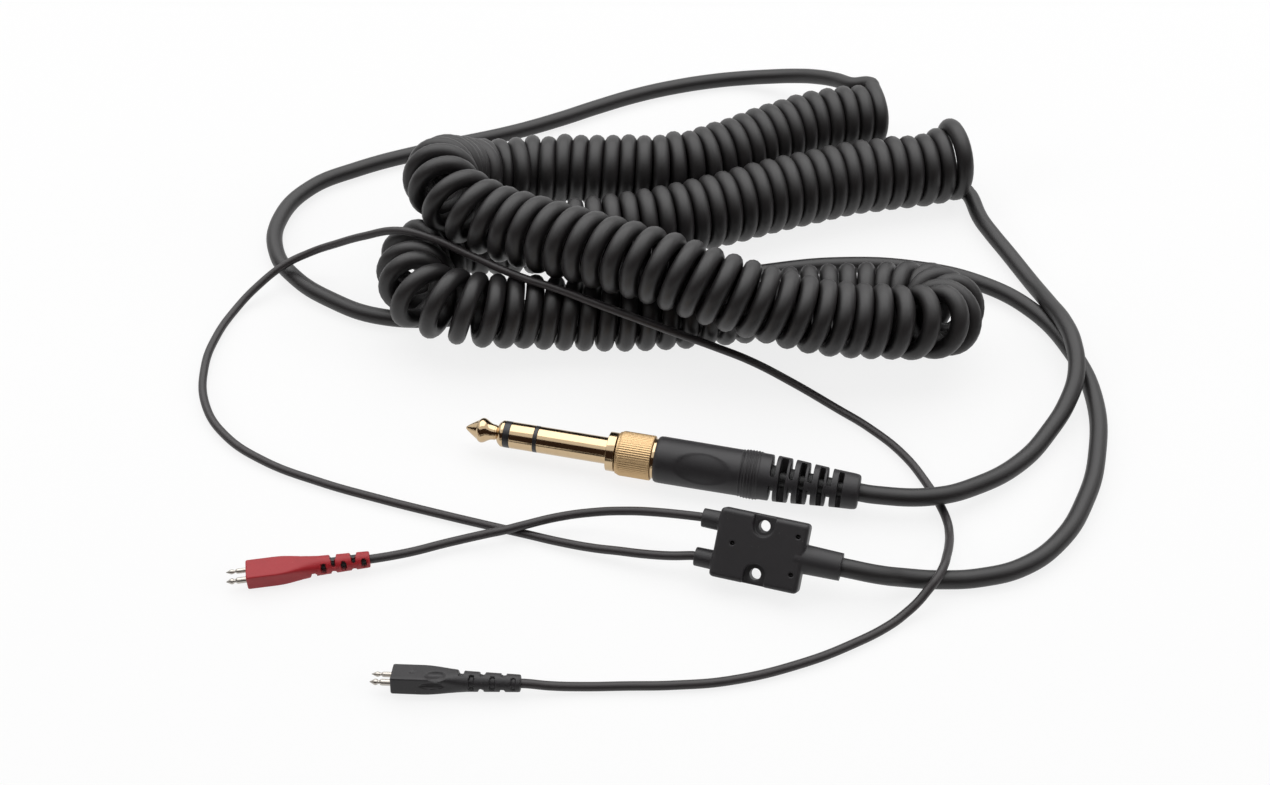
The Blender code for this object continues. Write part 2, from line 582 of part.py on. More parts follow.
# ================================================================ splitter
def build_splitter(frame):
    """The flat block where the cord parts in two, moulded over an inner block with the joints."""
    length, height, thick = BLOCK
    mesh = box_mesh("splitter_block", BLOCK, (0, 0, 0))
    block = add("splitter_block", mesh, RUBBER, frame)
    rounding = block.modifiers.new("round_edges", "BEVEL")
    rounding.width = BLOCK_ROUND * MM
    rounding.segments = 3
    rounding.limit_method = "ANGLE"
    half = length / 2
    reliefs = [rod_mesh("relief", (RELIEF_D[0] / 2, RELIEF_D[1] / 2), (half - 1.0, 0, 0),
                        (half + RELIEF_LENGTH, 0, 0))]
    for side in (-1, 1):
        reliefs.append(rod_mesh("neck", (NECK_D / 2, NECK_D / 2 - 0.15), (-half + 1.0, side * NECK_OUT, 0),
                                (-half - NECK_LENGTH, side * NECK_OUT, 0), 16))
    combine(block, cutter("splitter_necks", joined_mesh("splitter_necks", reliefs), frame), "UNION")
    along, up = HOLE_AT
    seat = HOLE_SEAT_D / 2
    floor = thick / 2 - HOLE_SEAT_DEPTH
    for side, which in ((1, "upper"), (-1, "lower")):
        across = side * up
        drill = rod_mesh("drill", (HOLE_D / 2, HOLE_D / 2), (along, across, -thick), (along, across, thick))
        combine(block, cutter(which + "_screw_hole", drill, frame))
        sink = rod_mesh("sink", (seat, seat), (along, across, floor), (along, across, thick))
        combine(block, cutter(which + "_screw_seat", sink, frame))
        # The seat runs out through the block's nearer edge.
        run = box_mesh("run", (2 * seat - 0.02, height / 2, thick),
                       (along, across + side * height / 4, floor + thick / 2))
        combine(block, cutter(which + "_seat_mouth", run, frame))
    pocket = [size + 2 * GAP for size in CORE]
    combine(block, cutter("core_pocket", box_mesh("core_pocket", pocket, (0, 0, 0)), frame))
    mark = MOULD_MARK_D / 2
    marks = [rod_mesh("mark", (mark, mark), (x, y, thick / 2 - 0.9), (x, y, thick), 12)
             for x, y in MOULD_MARKS]
    combine(block, cutter("mould_marks", joined_mesh("mould_marks", marks), frame))
    vent = rod_mesh("core_vent", (mark, mark), (-2.5, 0, -thick), (-2.5, 0, 0), 12)
    combine(block, cutter("core_vent", vent, frame))
    core = add("splitter_core", box_mesh("splitter_core", CORE, (0, 0, 0)), INSULATOR, frame)
    soften = core.modifiers.new("round_edges", "BEVEL")
    soften.width = 0.3 * MM
    soften.segments = 1


# ================================================================ two-pin plugs
def superellipse(half_x, half_y, square, count):
    """Points of a rounded outline: square is 2 for an ellipse and larger towards a rectangle."""
    points = []
    for i in range(count):
        turn = 2 * math.pi * (i + 0.5) / count
        c, s = math.cos(turn), math.sin(turn)
        points.append((half_x * math.copysign(abs(c) ** (2 / square), c),
                       half_y * math.copysign(abs(s) ** (2 / square), s)))
    return points


def loft_mesh(name, sections, count=16):
    """A closed skin over (z, half thickness, half width, squareness) sections, front to rear."""
    mesh = bpy.data.meshes.new(name)
    shape = bmesh.new()
    loops = []
    for z, half_x, half_y, square in sections:
        ring = superellipse(half_x, half_y, square, count)
        loops.append([shape.verts.new((x * MM, y * MM, z * MM)) for x, y in ring])
    for lower, upper in zip(loops, loops[1:]):
        for i in range(count):
            j = (i + 1) % count
            shape.faces.new((lower[i], lower[j], upper[j], upper[i]))
    shape.faces.new(loops[0][::-1])
    shape.faces.new(loops[-1])
    shape.to_mesh(mesh)
    shape.free()
    return mesh


def build_pin_plug(colour_name, finish, frame):
    """A moulded plug: a block for the fingers that runs into a round slotted tail, with two pins."""
    half_t, half_w = PLUG_T / 2, PLUG_W / 2
    sections = ((0.0, half_t - 0.25, half_w - 0.25, 7.0), (0.3, half_t, half_w, 7.0),
                (7.2, half_t, half_w, 7.0), (9.2, half_t + 0.05, half_w - 0.05, 4.5),
                (11.4, half_t + 0.15, half_w - 0.2, 3.0), (13.6, 2.3, 2.4, 2.2), (15.4, 2.4, 2.4, 2.0),
                (22.0, 2.15, 2.15, 2.0), (PLUG_LENGTH - 0.3, 1.98, 1.98, 2.0), (PLUG_LENGTH, 1.75, 1.75, 2.0))
    body_name = colour_name + "_plug_body"
    body = add(body_name, loft_mesh(body_name, sections), finish, frame)
    bore = PLUG_BORE_D / 2
    name = colour_name + "_cord_bore"
    drill = rod_mesh(name, (bore, bore), (0, 0, PLUG_BORE_START), (0, 0, PLUG_LENGTH + 1), 12)
    combine(body, cutter(name, drill, frame))
    facing = [PLUG_LENGTH - 1.3 - PLUG_SLOT_PITCH * i for i in range(3)]
    across = [z - PLUG_SLOT_PITCH / 2 for z in facing]
    turned_frame = empty(colour_name + "_tail_frame", Matrix.Rotation(math.radians(42), 4, "Z"), frame)
    for label, places, axis in (("facing", facing, 0), ("across", across, 1)):
        name = "%s_slots_%s" % (colour_name, label)
        combine(body, cutter(name, slot_mesh(name, places, 1.1, 3.0, 1.0, axis), turned_frame))
    front = CARRIER_FRONT
    middle = (0, 0, front + CARRIER[2] / 2)
    name = colour_name + "_carrier_pocket"
    combine(body, cutter(name, box_mesh(name, [size + 2 * GAP for size in CARRIER], middle), frame))
    name = colour_name + "_pin_carrier"
    carrier = add(name, box_mesh(name, CARRIER, middle), INSULATOR, frame)
    seat_end = front + CARRIER[2] - 0.6
    for diameter, side, label in ((PIN_D[0], 1, "large"), (PIN_D[1], -1, "small")):
        y = side * PIN_PITCH / 2
        hole = diameter / 2 + 0.2
        name = "%s_%s_pin_hole" % (colour_name, label)
        combine(body, cutter(name, rod_mesh(name, (hole, hole), (0, y, -1), (0, y, front), 12), frame))
        name = "%s_%s_pin_seat" % (colour_name, label)
        combine(carrier, cutter(name, rod_mesh(name, (hole, hole), (0, y, -1), (0, y, seat_end), 12), frame))
        pin_frame = empty("%s_%s_pin_axis" % (colour_name, label),
                          Matrix.Translation((0, y * MM, 0)), frame)
        build_pin("%s_%s_pin" % (colour_name, label), diameter / 2, pin_frame, seat_end - 0.3)


def build_pin(name, radius, frame, rear):
    """A contact pin with a pointed head, a waist and a straight shank."""
    waist = radius * 0.55
    outline = [(radius * 0.2, -PIN_OUT), (radius * 0.95, -PIN_OUT + 0.85), (radius * 0.95, -PIN_OUT + 1.15),
               (waist, -PIN_OUT + 1.6), (waist, -PIN_OUT + 1.85), (radius, -PIN_OUT + 2.2), (radius, rear)]
    turned(name, outline, NICKEL, frame, steps=10)


# ================================================================ the cable
clear_scene()
PARTS = collection("coiled_headphone_cable")
CUTTERS = collection("cutters")
TABLE = empty("cable", Matrix.Translation(Vector((-ORIGIN[0], -ORIGIN[1], 0.0)) * MM))
JACK = empty("jack_axis", lying(JACK_POSE), TABLE)
ADAPTER = empty("adapter_axis", Matrix.Identity(4), JACK)
SPLITTER = empty("splitter_frame", leaning(SPLITTER_POSE), TABLE)
RED_PLUG = empty("red_plug_frame", lying(RED_POSE), TABLE)
BLACK_PLUG = empty("black_plug_frame", lying(BLACK_POSE), TABLE)

build_adapter(ADAPTER)
build_small_plug(JACK)
build_boot(JACK)
build_splitter(SPLITTER)
build_pin_plug("red", RED, RED_PLUG)
build_pin_plug("black", RUBBER, BLACK_PLUG)

coil = coil_path()
tube("coil", coil, CORD_D, 6, JACKET)
print("least gap of the coil to itself: %.2f mm" % least_gap(coil, CORD_D, 3 * CORD_D))

bpy.context.view_layer.update()
in_way = unit(coil[1] - coil[0])
out_way = unit(coil[-1] - coil[-2])
coil_in = coil[0] - GAP * in_way
coil_out = coil[-1] + GAP * out_way
jack_cord = cord_through(spot(JACK, (0, 0, BOOT_BORE_START + GAP)), spot(JACK, (0, 0, BOOT_END + 2)),
                         JACK_CORD_ROUTE, coil_in - 4 * in_way, coil_in, 15)
tube("cord_jack_side", jack_cord, CORD_D, 8, JACKET)

relief_end = BLOCK[0] / 2 + RELIEF_LENGTH + GAP
splitter_cord = cord_through(coil_out, coil_out + 4 * out_way, SPLITTER_CORD_ROUTE,
                             spot(SPLITTER, (relief_end + 4, 0, 0)), spot(SPLITTER, (relief_end, 0, 0)), 34)
tube("cord_splitter_side", splitter_cord, CORD_D, 8, JACKET)

neck_end = -BLOCK[0] / 2 - NECK_LENGTH - GAP
leads = (("red_lead", RED_PLUG, RED_LEAD_ROUTE, 1, 11), ("black_lead", BLACK_PLUG, BLACK_LEAD_ROUTE, -1, 38))
for lead_name, plug, route, side_of, count in leads:
    lead = cord_through(spot(plug, (0, 0, PLUG_BORE_START + GAP)), spot(plug, (0, 0, PLUG_LENGTH + 1)), route,
                        spot(SPLITTER, (neck_end - 3, side_of * NECK_OUT, 0)),
                        spot(SPLITTER, (neck_end, side_of * NECK_OUT, 0)), count)
    tube(lead_name, lead, LEAD_D, 8, JACKET)
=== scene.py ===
"""Looks of a coiled headphone cable: its cords, its curly cord, jack, splitter and pin plugs on a table."""
import math
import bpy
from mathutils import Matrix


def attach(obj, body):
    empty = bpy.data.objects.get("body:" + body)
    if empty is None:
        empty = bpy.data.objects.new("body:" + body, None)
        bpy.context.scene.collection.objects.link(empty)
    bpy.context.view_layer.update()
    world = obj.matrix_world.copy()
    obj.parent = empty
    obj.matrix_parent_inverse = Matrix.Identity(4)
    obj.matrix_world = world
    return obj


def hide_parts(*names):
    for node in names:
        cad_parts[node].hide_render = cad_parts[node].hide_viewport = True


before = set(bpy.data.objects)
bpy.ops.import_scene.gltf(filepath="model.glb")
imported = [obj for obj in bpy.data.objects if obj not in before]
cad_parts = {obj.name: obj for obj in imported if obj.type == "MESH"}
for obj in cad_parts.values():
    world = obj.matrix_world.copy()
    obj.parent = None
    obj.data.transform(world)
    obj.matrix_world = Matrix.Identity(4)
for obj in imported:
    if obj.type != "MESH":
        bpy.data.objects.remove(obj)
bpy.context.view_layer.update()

import bmesh
import bpy
import numpy as np
from mathutils import Matrix, Vector

# ================================================================ table, light and camera
# A white table top under large soft lamps.  Places on the table are in millimetres, x to the right
# and y away from the camera, counted from the point that the middle of the picture shows.
MM = 0.001
TABLE_AT = Vector((20.104, 54.367, 0.0))


def place(point):
    """A point on the table, in metres in the cable's own frame."""
    return (Vector(point) + TABLE_AT) * MM


class Wire:
    """A shader value: sums and products of it add the nodes that work them out."""

    def __init__(self, tree, socket):
        self.tree = tree
        self.socket = socket

    def node(self, kind, settings=None, out=0, **values):
        """Add a node: its settings, then its sockets by name or as i and a number; give its output."""
        made = self.tree.nodes.new("ShaderNode" + kind)
        for name, value in (settings or {}).items():
            setattr(made, name, value)
        for name, value in values.items():
            numbered = name[0] == "i" and name[1:].isdigit()
            socket = made.inputs[int(name[1:])] if numbered else made.inputs[name]
            if isinstance(value, Wire):
                self.tree.links.new(value.socket, socket)
            else:
                socket.default_value = value
        return Wire(self.tree, made.outputs[out])

    def math(self, operation, *values):
        """A Math node on this value and others."""
        inputs = {"i%d" % k: value for k, value in enumerate(values)}
        return self.node("Math", {"operation": operation}, **inputs)

    def __radd__(self, other):
        return self.math("ADD", other, self)

    def __mul__(self, other):
        return self.math("MULTIPLY", self, other)

    def __rmul__(self, other):
        return self.math("MULTIPLY", other, self)


def srgb(red, green, blue):
    """A screen colour, 0 to 255, as the shader's linear colour."""
    return tuple(((level / 255 + 0.055) / 1.055)**2.4 for level in (red, green, blue))


def surface(name, colour, roughness, metallic=0.0):
    """A new material, its Principled node, and the place on the object in millimetres."""
    material = bpy.data.materials.new(name)
    material.use_nodes = True
    material.diffuse_color = (*colour, 1.0)
    tree = material.node_tree
    shader = tree.nodes["Principled BSDF"]
    shader.inputs["Base Color"].default_value = (*colour, 1.0)
    shader.inputs["Roughness"].default_value = roughness
    shader.inputs["Metallic"].default_value = metallic
    here = Wire(tree, tree.nodes.new("ShaderNodeTexCoord").outputs["Object"])
    here = here.node("VectorMath", {"operation": "SCALE"}, i0=here, Scale=1000.0)
    return material, shader, here


def tint(wire, dark, light):
    """A colour between two, by a value from 0 to 1."""
    return wire.node("Mix", {"data_type": "RGBA"}, out=2, i0=wire, i6=(*dark, 1.0), i7=(*light, 1.0))


scene = bpy.context.scene
scene.view_settings.view_transform = "Standard"

WHITE = (1.0, 1.0, 1.0)
TABLE_HALF = 3.0
TABLE_DROP = 0.0003
table_mesh = bpy.data.meshes.new("table_top")
shape = bmesh.new()
bmesh.ops.create_grid(shape, x_segments=1, y_segments=1, size=TABLE_HALF)
shape.to_mesh(table_mesh)
shape.free()
table_top = bpy.data.objects.new("table_top", table_mesh)
table_top.location = (0.0, 0.0, -TABLE_DROP)
scene.collection.objects.link(table_top)
table_paint, table_shader, _ = surface("table_white", (0.86, 0.86, 0.86), 0.9)
table_mesh.materials.append(table_paint)


def background_ray(tree):
    """1 for a ray from the camera, or one that a glossy or clear surface sends on; then the first alone."""
    rays = tree.nodes.new("ShaderNodeLightPath").outputs
    camera, glossy, clear = (Wire(tree, rays[name]) for name in
                             ("Is Camera Ray", "Is Glossy Ray", "Is Transmission Ray"))
    return camera.math("MAXIMUM", camera.math("MAXIMUM", camera, glossy), clear), camera


# The table glows where it is looked at, which leaves the cable only a pale shadow.
TABLE_GLOW, GLOW_STRENGTH = 0.8, 1.03
table_tree = table_paint.node_tree
looked_at, _ = background_ray(table_tree)
glow = looked_at.node("Emission", Color=(*WHITE, 1.0), Strength=GLOW_STRENGTH)
glowing = looked_at.node("MixShader", i0=looked_at * TABLE_GLOW,
                         i1=Wire(table_tree, table_shader.outputs[0]), i2=glow)
table_tree.links.new(glowing.socket, table_tree.nodes["Material Output"].inputs["Surface"])

# A white studio with one big soft dome overhead.  What shines sees the dark walls below it too.
DOME_AT = (0.0, 0.5, 0.866)
DOME_EDGE, DOME_RIM = 0.33, 0.37
DAYLIGHT = 0.58
world = bpy.data.worlds.new("studio")
scene.world = world
world.use_nodes = True
world_tree = world.node_tree
background = world_tree.nodes["Background"]
background.inputs["Strength"].default_value = DAYLIGHT
looked_at, camera_ray = background_ray(world_tree)
toward = Wire(world_tree, world_tree.nodes.new("ShaderNodeTexCoord").outputs["Generated"])
toward = toward.node("VectorMath", {"operation": "DOT_PRODUCT"}, 1, i0=toward, i1=DOME_AT)
dome = toward.node("MapRange", {"interpolation_type": "SMOOTHSTEP"}, i0=toward, i1=DOME_EDGE, i2=DOME_RIM)
walls = tint(dome.math("MAXIMUM", dome, camera_ray), srgb(58, 46, 40), WHITE)
seen = walls.node("Background", Color=walls, Strength=1.0)
studio = walls.node("MixShader", i0=looked_at, i1=Wire(world_tree, background.outputs[0]), i2=seen)
world_tree.links.new(studio.socket, world_tree.nodes["World Output"].inputs[0])


def softbox(name, at, target, size, power):
    """A flat soft lamp that faces a point, in metres."""
    lamp = bpy.data.lights.new(name, "AREA")
    lamp.shape = "RECTANGLE"
    lamp.size, lamp.size_y = size
    lamp.energy = power
    made = bpy.data.objects.new(name, lamp)
    made.location = at
    made.rotation_euler = (Vector(target) - Vector(at)).to_track_quat("-Z", "Y").to_euler()
    scene.collection.objects.link(made)
    return made


softbox("lamp_over", (0.0, 0.48, 0.95), (0.0, 0.03, 0.0), (1.8, 1.3), 13.5)
for name, at in (("lamp_left", (-0.85, -0.2, 0.45)), ("lamp_right", (0.9, -0.1, 0.45))):
    side_lamp = softbox(name, at, (0.0, 0.0, 0.0), (0.6, 0.5), 3.0)
    side_lamp.visible_glossy = False

# The camera looks down at 44 degrees; one millimetre in the middle is about four picture points.
CAMERA_AT = (0.0, -326.2, 315.0)
CAMERA_DOWN = 44.0
LENS = 52.02
camera_data = bpy.data.cameras.new("camera")
camera_data.sensor_width = 36.0
camera_data.lens = LENS
camera_data.clip_start = 0.01
camera = bpy.data.objects.new("camera", camera_data)
camera.location = place(CAMERA_AT)
camera.rotation_euler = (math.radians(90.0 - CAMERA_DOWN), 0.0, 0.0)
scene.collection.objects.link(camera)
scene.camera = camera

# ================================================================ curly cord
# The cord is wound tight and left-handed on a rod and heat-set, so it springs back to a coil.  It
# lies folded in four: along the back, round and down on the left, and back over itself in front.
CORD_D, COIL_D = 4.3, 4.5
CURL_POINTS = 16
END_RUN = 4.4
LEAN_RUN = 20
COIL_STEP = 1.4
SETTLE_ROUNDS = 300
PUSH, SPRING, HOLD = 0.35, 0.22, 0.01
# Its axis on the table: x, y, height, radius of the turns and distance from turn to turn.
COIL_AXIS = (
    (89.6, 81.2, 11.1, 9.0, 4.5), (86.4, 80.1, 11.1, 8.9, 4.6), (84.0, 79.2, 10.2, 8.1, 4.5),
    (80.0, 77.8, 9.9, 7.8, 4.4), (70.0, 75.8, 9.9, 7.8, 4.4),
    (59.0, 73.5, 9.9, 7.8, 4.4), (47.0, 69.5, 9.9, 7.8, 4.4), (36.0, 65.5, 9.9, 7.8, 4.4),
    (25.0, 61.0, 9.8, 7.7, 4.45), (10.0, 55.5, 9.7, 7.6, 4.6), (-6.0, 51.5, 9.6, 7.5, 4.8),
    (-22.0, 49.0, 9.5, 7.4, 5.0), (-37.0, 48.3, 9.5, 7.4, 5.1), (-48.5, 45.4, 9.6, 7.4, 5.4),
    (-55.0, 37.8, 11.2, 7.3, 5.6), (-56.0, 28.5, 13.4, 7.3, 5.6), (-52.4, 20.6, 14.2, 7.3, 5.6),
    (-45.5, 16.9, 14.0, 7.2, 5.6), (-37.5, 16.5, 12.6, 7.2, 5.4), (-28.0, 18.3, 10.6, 7.2, 5.2),
    (-16.0, 18.7, 9.4, 7.2, 5.0), (-2.0, 18.5, 9.3, 7.2, 5.0), (12.0, 19.5, 9.3, 7.2, 5.0),
    (27.0, 21.5, 9.3, 7.2, 5.0), (42.0, 23.3, 9.2, 7.1, 5.0), (55.0, 24.4, 9.2, 7.1, 5.1),
    (64.0, 24.8, 9.3, 7.0, 5.1), (71.0, 23.6, 10.0, 6.9, 4.4), (75.0, 20.2, 11.6, 6.9, 4.0),
    (76.4, 15.6, 13.4, 6.9, 4.0), (75.0, 11.0, 15.2, 6.9, 4.0), (71.0, 7.8, 16.8, 6.9, 4.4),
    (64.0, 6.6, 17.5, 7.0, 5.1), (56.0, 6.6, 17.8, 7.1, 5.1),
    (45.0, 6.4, 19.4, 7.2, 5.0), (32.5, 7.6, 22.2, 7.2, 5.0), (19.0, 10.0, 25.6, 7.2, 5.0),
    (7.0, 14.0, 28.0, 7.2, 5.0), (-9.0, 21.0, 28.0, 7.2, 5.1), (-25.0, 29.0, 27.0, 7.3, 5.3),
    (-34.5, 34.0, 26.6, 7.3, 5.6), (-41.0, 37.0, 28.0, 7.3, 5.8), (-46.5, 42.0, 28.8, 7.3, 5.6),
    (-49.3, 49.0, 28.0, 7.4, 5.4), (-49.3, 57.0, 24.4, 7.4, 5.2), (-46.4, 65.8, 17.8, 7.5, 5.0),
    (-40.5, 72.8, 11.8, 7.5, 4.8), (-32.0, 76.4, 9.7, 7.5, 4.6), (-20.0, 77.5, 9.6, 7.5, 4.4),
    (-6.0, 77.5, 9.6, 7.5, 4.4), (7.0, 78.0, 9.6, 7.5, 4.4), (17.0, 80.5, 9.6, 7.5, 4.4),
    (27.0, 85.5, 9.6, 7.5, 4.4), (38.0, 92.0, 9.6, 7.5, 4.4), (50.0, 98.0, 9.6, 7.5, 4.4),
    (60.0, 101.0, 9.6, 7.5, 4.4), (67.5, 103.0, 9.0, 6.9, 4.6),
)


def run_lengths(points):
    """Length from the start to each point."""
    steps = np.linalg.norm(np.diff(points[:, :3], axis=0), axis=1)
    return np.concatenate(([0.0], np.cumsum(steps)))


def smooth_curve(points, step=0.4):
    """Points every step along a smooth curve through the given ones."""
    knots = np.asarray(points, float)
    chord = np.linalg.norm(np.diff(knots[:, :3], axis=0), axis=1)
    slope = np.gradient(knots, np.concatenate(([0.0], np.cumsum(chord))), axis=0)
    fine = []
    for i, length in enumerate(chord):
        t = np.linspace(0.0, 1.0, max(2, int(length / step)), endpoint=False)[:, None]
        fine.append((2 * t**3 - 3 * t**2 + 1) * knots[i] + (t**3 - 2 * t**2 + t) * length * slope[i]
                    + (3 * t**2 - 2 * t**3) * knots[i + 1] + (t**3 - t**2) * length * slope[i + 1])
    return np.vstack(fine + [knots[-1:]])


def unit(vector):
    """The vector at length one."""
    return vector / np.linalg.norm(vector)


def wind(route):
    """The cord's middle line wound round the route, from under its start to over its end."""
    axis = smooth_curve(route)
    at = run_lengths(axis)
    middle, radius, pitch = axis[:, :3], axis[:, 3], axis[:, 4]
    along = np.gradient(middle, at, axis=0)
    wide = np.pad(along, ((LEAN_RUN, LEAN_RUN), (0, 0)), mode="edge")
    along = np.column_stack([np.convolve(column, np.ones(2 * LEAN_RUN + 1), "valid") for column in wide.T])
    along /= np.linalg.norm(along, axis=1)[:, None]
    down = np.array([0.0, 0.0, -1.0]) + along * along[:, 2:3]
    down /= np.linalg.norm(down, axis=1)[:, None]
    side = np.cross(down, along)
    phase = np.concatenate(([0.0], np.cumsum(np.diff(at) * 2 / (pitch[1:] + pitch[:-1]))))
    turns = round(phase[-1]) + 0.5
    phase *= turns / phase[-1]
    marks = np.linspace(0.0, turns, round(turns * CURL_POINTS) + 1)
    columns = [np.interp(marks, phase, column) for column in (*middle.T, radius, *down.T, *side.T)]
    centre, size = np.column_stack(columns[:3]), columns[3][:, None]
    downs, sides = np.column_stack(columns[4:7]), np.column_stack(columns[7:10])
    angle = (2 * math.pi * marks)[:, None]
    line = centre + size * (np.cos(angle) * downs + np.sin(angle) * sides)
    leans = [along[k] * pitch[k] / (2 * math.pi * radius[k]) for k in (0, -1)]
    return line, unit(leans[0] + side[0]), unit(leans[1] - side[-1])


def settle(line, apart):
    """Push turns that press into each other apart, as the cord's own stiffness lets them move."""
    rest = line.copy()
    still = rest[2:] + rest[:-2] - 2 * rest[1:-1]
    length = np.linalg.norm(np.diff(rest, axis=0), axis=1)
    order = np.arange(len(line))
    near = np.linalg.norm(rest[:, None, :] - rest[None, :, :], axis=2) < 3 * apart
    near &= (order[None, :] - order[:, None]) > CURL_POINTS // 3
    first, second = np.nonzero(near)
    for _ in range(SETTLE_ROUNDS):
        gap = line[second] - line[first]
        far = np.linalg.norm(gap, axis=1)
        close = far < apart
        push = gap[close] * ((apart - far[close]) / far[close] * PUSH)[:, None]
        move = np.zeros_like(line)
        hits = np.ones(len(line))
        np.add.at(move, second[close], push)
        np.add.at(move, first[close], -push)
        np.add.at(hits, second[close], 0.5)
        np.add.at(hits, first[close], 0.5)
        line = line + move / hits[:, None]
        bend = line[2:] + line[:-2] - 2 * line[1:-1]
        line[1:-1] += SPRING * (bend - still)
        step = np.diff(line, axis=0)
        span = np.linalg.norm(step, axis=1)
        fix = step * ((span - length) / span * 0.5)[:, None]
        line[:-1] += fix
        line[1:] -= fix
        line += HOLD * (rest - line)
        line[:, 2] = np.maximum(line[:, 2], apart / 2)
        line[:2], line[-2:] = rest[:2], rest[-2:]
    return line


coil_line, coil_in, coil_out = wind(COIL_AXIS)
coil_line = settle(coil_line, COIL_D)
coil_line = np.vstack((coil_line[0] - END_RUN * coil_in, coil_line, coil_line[-1] + END_RUN * coil_out))
coil_line = smooth_curve(coil_line, COIL_STEP)


def cord_piece(name, points, diameter, smooth, finish):
    """A round cord along the points: smooth through them, or straight between close ones."""
    curve = bpy.data.curves.new(name, "CURVE")
    curve.dimensions = "3D"
    line = curve.splines.new("BEZIER" if smooth else "POLY")
    if smooth:
        line.bezier_points.add(len(points) - 1)
        for mark, point in zip(line.bezier_points, points):
            mark.co = place(point)
            mark.handle_left_type = mark.handle_right_type = "AUTO"
        line.resolution_u = 10
    else:
        line.points.add(len(points) - 1)
        for mark, point in zip(line.points, points):
            mark.co = (*place(point), 1.0)
    curve.bevel_depth = diameter / 2 * MM
    curve.bevel_resolution = 5
    curve.use_fill_caps = True
    curve.materials.append(finish)
    cord = bpy.data.objects.new(name, curve)
    scene.collection.objects.link(cord)
    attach(cord, "cable")
    return cord


def feed(shader, socket, wire):
    """Let a varying value drive one of the shader's sockets."""
    wire.tree.links.new(wire.socket, shader.inputs[socket])


def noise(here, per_mm, detail):
    """Noise from 0 to 1 with about per_mm waves to a millimetre."""
    return here.node("TexNoise", Vector=here, Scale=per_mm, Detail=detail, Roughness=0.55)


def bump(height, depth):
    """A bump of the given depth from a height between 0 and 1."""
    return height.node("Bump", Strength=1.0, Distance=depth * MM, Height=height)


def jacket_finish(name, colour, dark, light):
    """A cord's satin plastic jacket, with a fine grain and slow mottling."""
    finish, shader, here = surface(name, colour, 0.42)
    grain = noise(here, 2.2, 4.0)
    feed(shader, "Roughness", 0.38 + 0.12 * grain)
    feed(shader, "Base Color", tint(noise(here, 0.12, 2.0), dark, light))
    feed(shader, "Normal", bump(grain, 0.012))
    return finish


jacket = jacket_finish("cord_jacket", srgb(31, 30, 30), srgb(27, 26, 26), srgb(36, 34, 35))
coil = cord_piece("curly_cord", coil_line, COIL_D, False, jacket)
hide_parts("coil")

# ================================================================ round cord, jack to coil
# The same cord runs straight out of the jack's boot and down to the table, rises over the
# splitter's cord where they cross, and swings round to the coil's back end.
JACK_AT, JACK_HEADING, JACK_ROLL = (-39.7, -17.85, 5.55), -12.9, 52.0
BOOT_END = 92.3
JACK_CORD_ROUTE = (
    (68.0, -39.8, 5.2), (79.0, -35.0, 3.6), (91.5, -25.5, 2.2), (99.5, -15.8, 2.6), (105.2, -6.9, 4.0),
    (108.3, 1.0, 5.7), (109.0, 10.6, 6.9), (108.0, 19.0, 6.6), (106.0, 28.5, 4.6), (103.6, 39.0, 2.4),
    (99.0, 52.0, 2.15), (96.3, 59.0, 2.15), (94.0, 66.0, 2.15),
)


def lying(at, heading, roll):
    """Matrix, in millimetres, of a connector on the table: z along its heading, x up before its roll."""
    turn = math.radians(heading)
    along = Vector((math.cos(turn), math.sin(turn), 0.0))
    up = Vector((0.0, 0.0, 1.0))
    axes = Matrix((up, along.cross(up), along)).transposed().to_4x4()
    return Matrix.Translation(at) @ axes @ Matrix.Rotation(math.radians(roll), 4, "Z")


def on(connector, *local):
    """A connector's own point, on the table."""
    return tuple(connector @ Vector(local))


jack_frame = lying(JACK_AT, JACK_HEADING, JACK_ROLL)
jack_cord_points = [on(jack_frame, 0, 0, z) for z in (90.5, BOOT_END, BOOT_END + 5)]
jack_cord_points += list(JACK_CORD_ROUTE)
jack_cord_points += [tuple(coil_line[0] - reach * coil_in) for reach in (1.5, 0.0)]
jack_cord = cord_piece("jack_cord", jack_cord_points, CORD_D, True, jacket)
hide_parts("cord_jack_side")
place(on(jack_frame, 0, 0, BOOT_END))

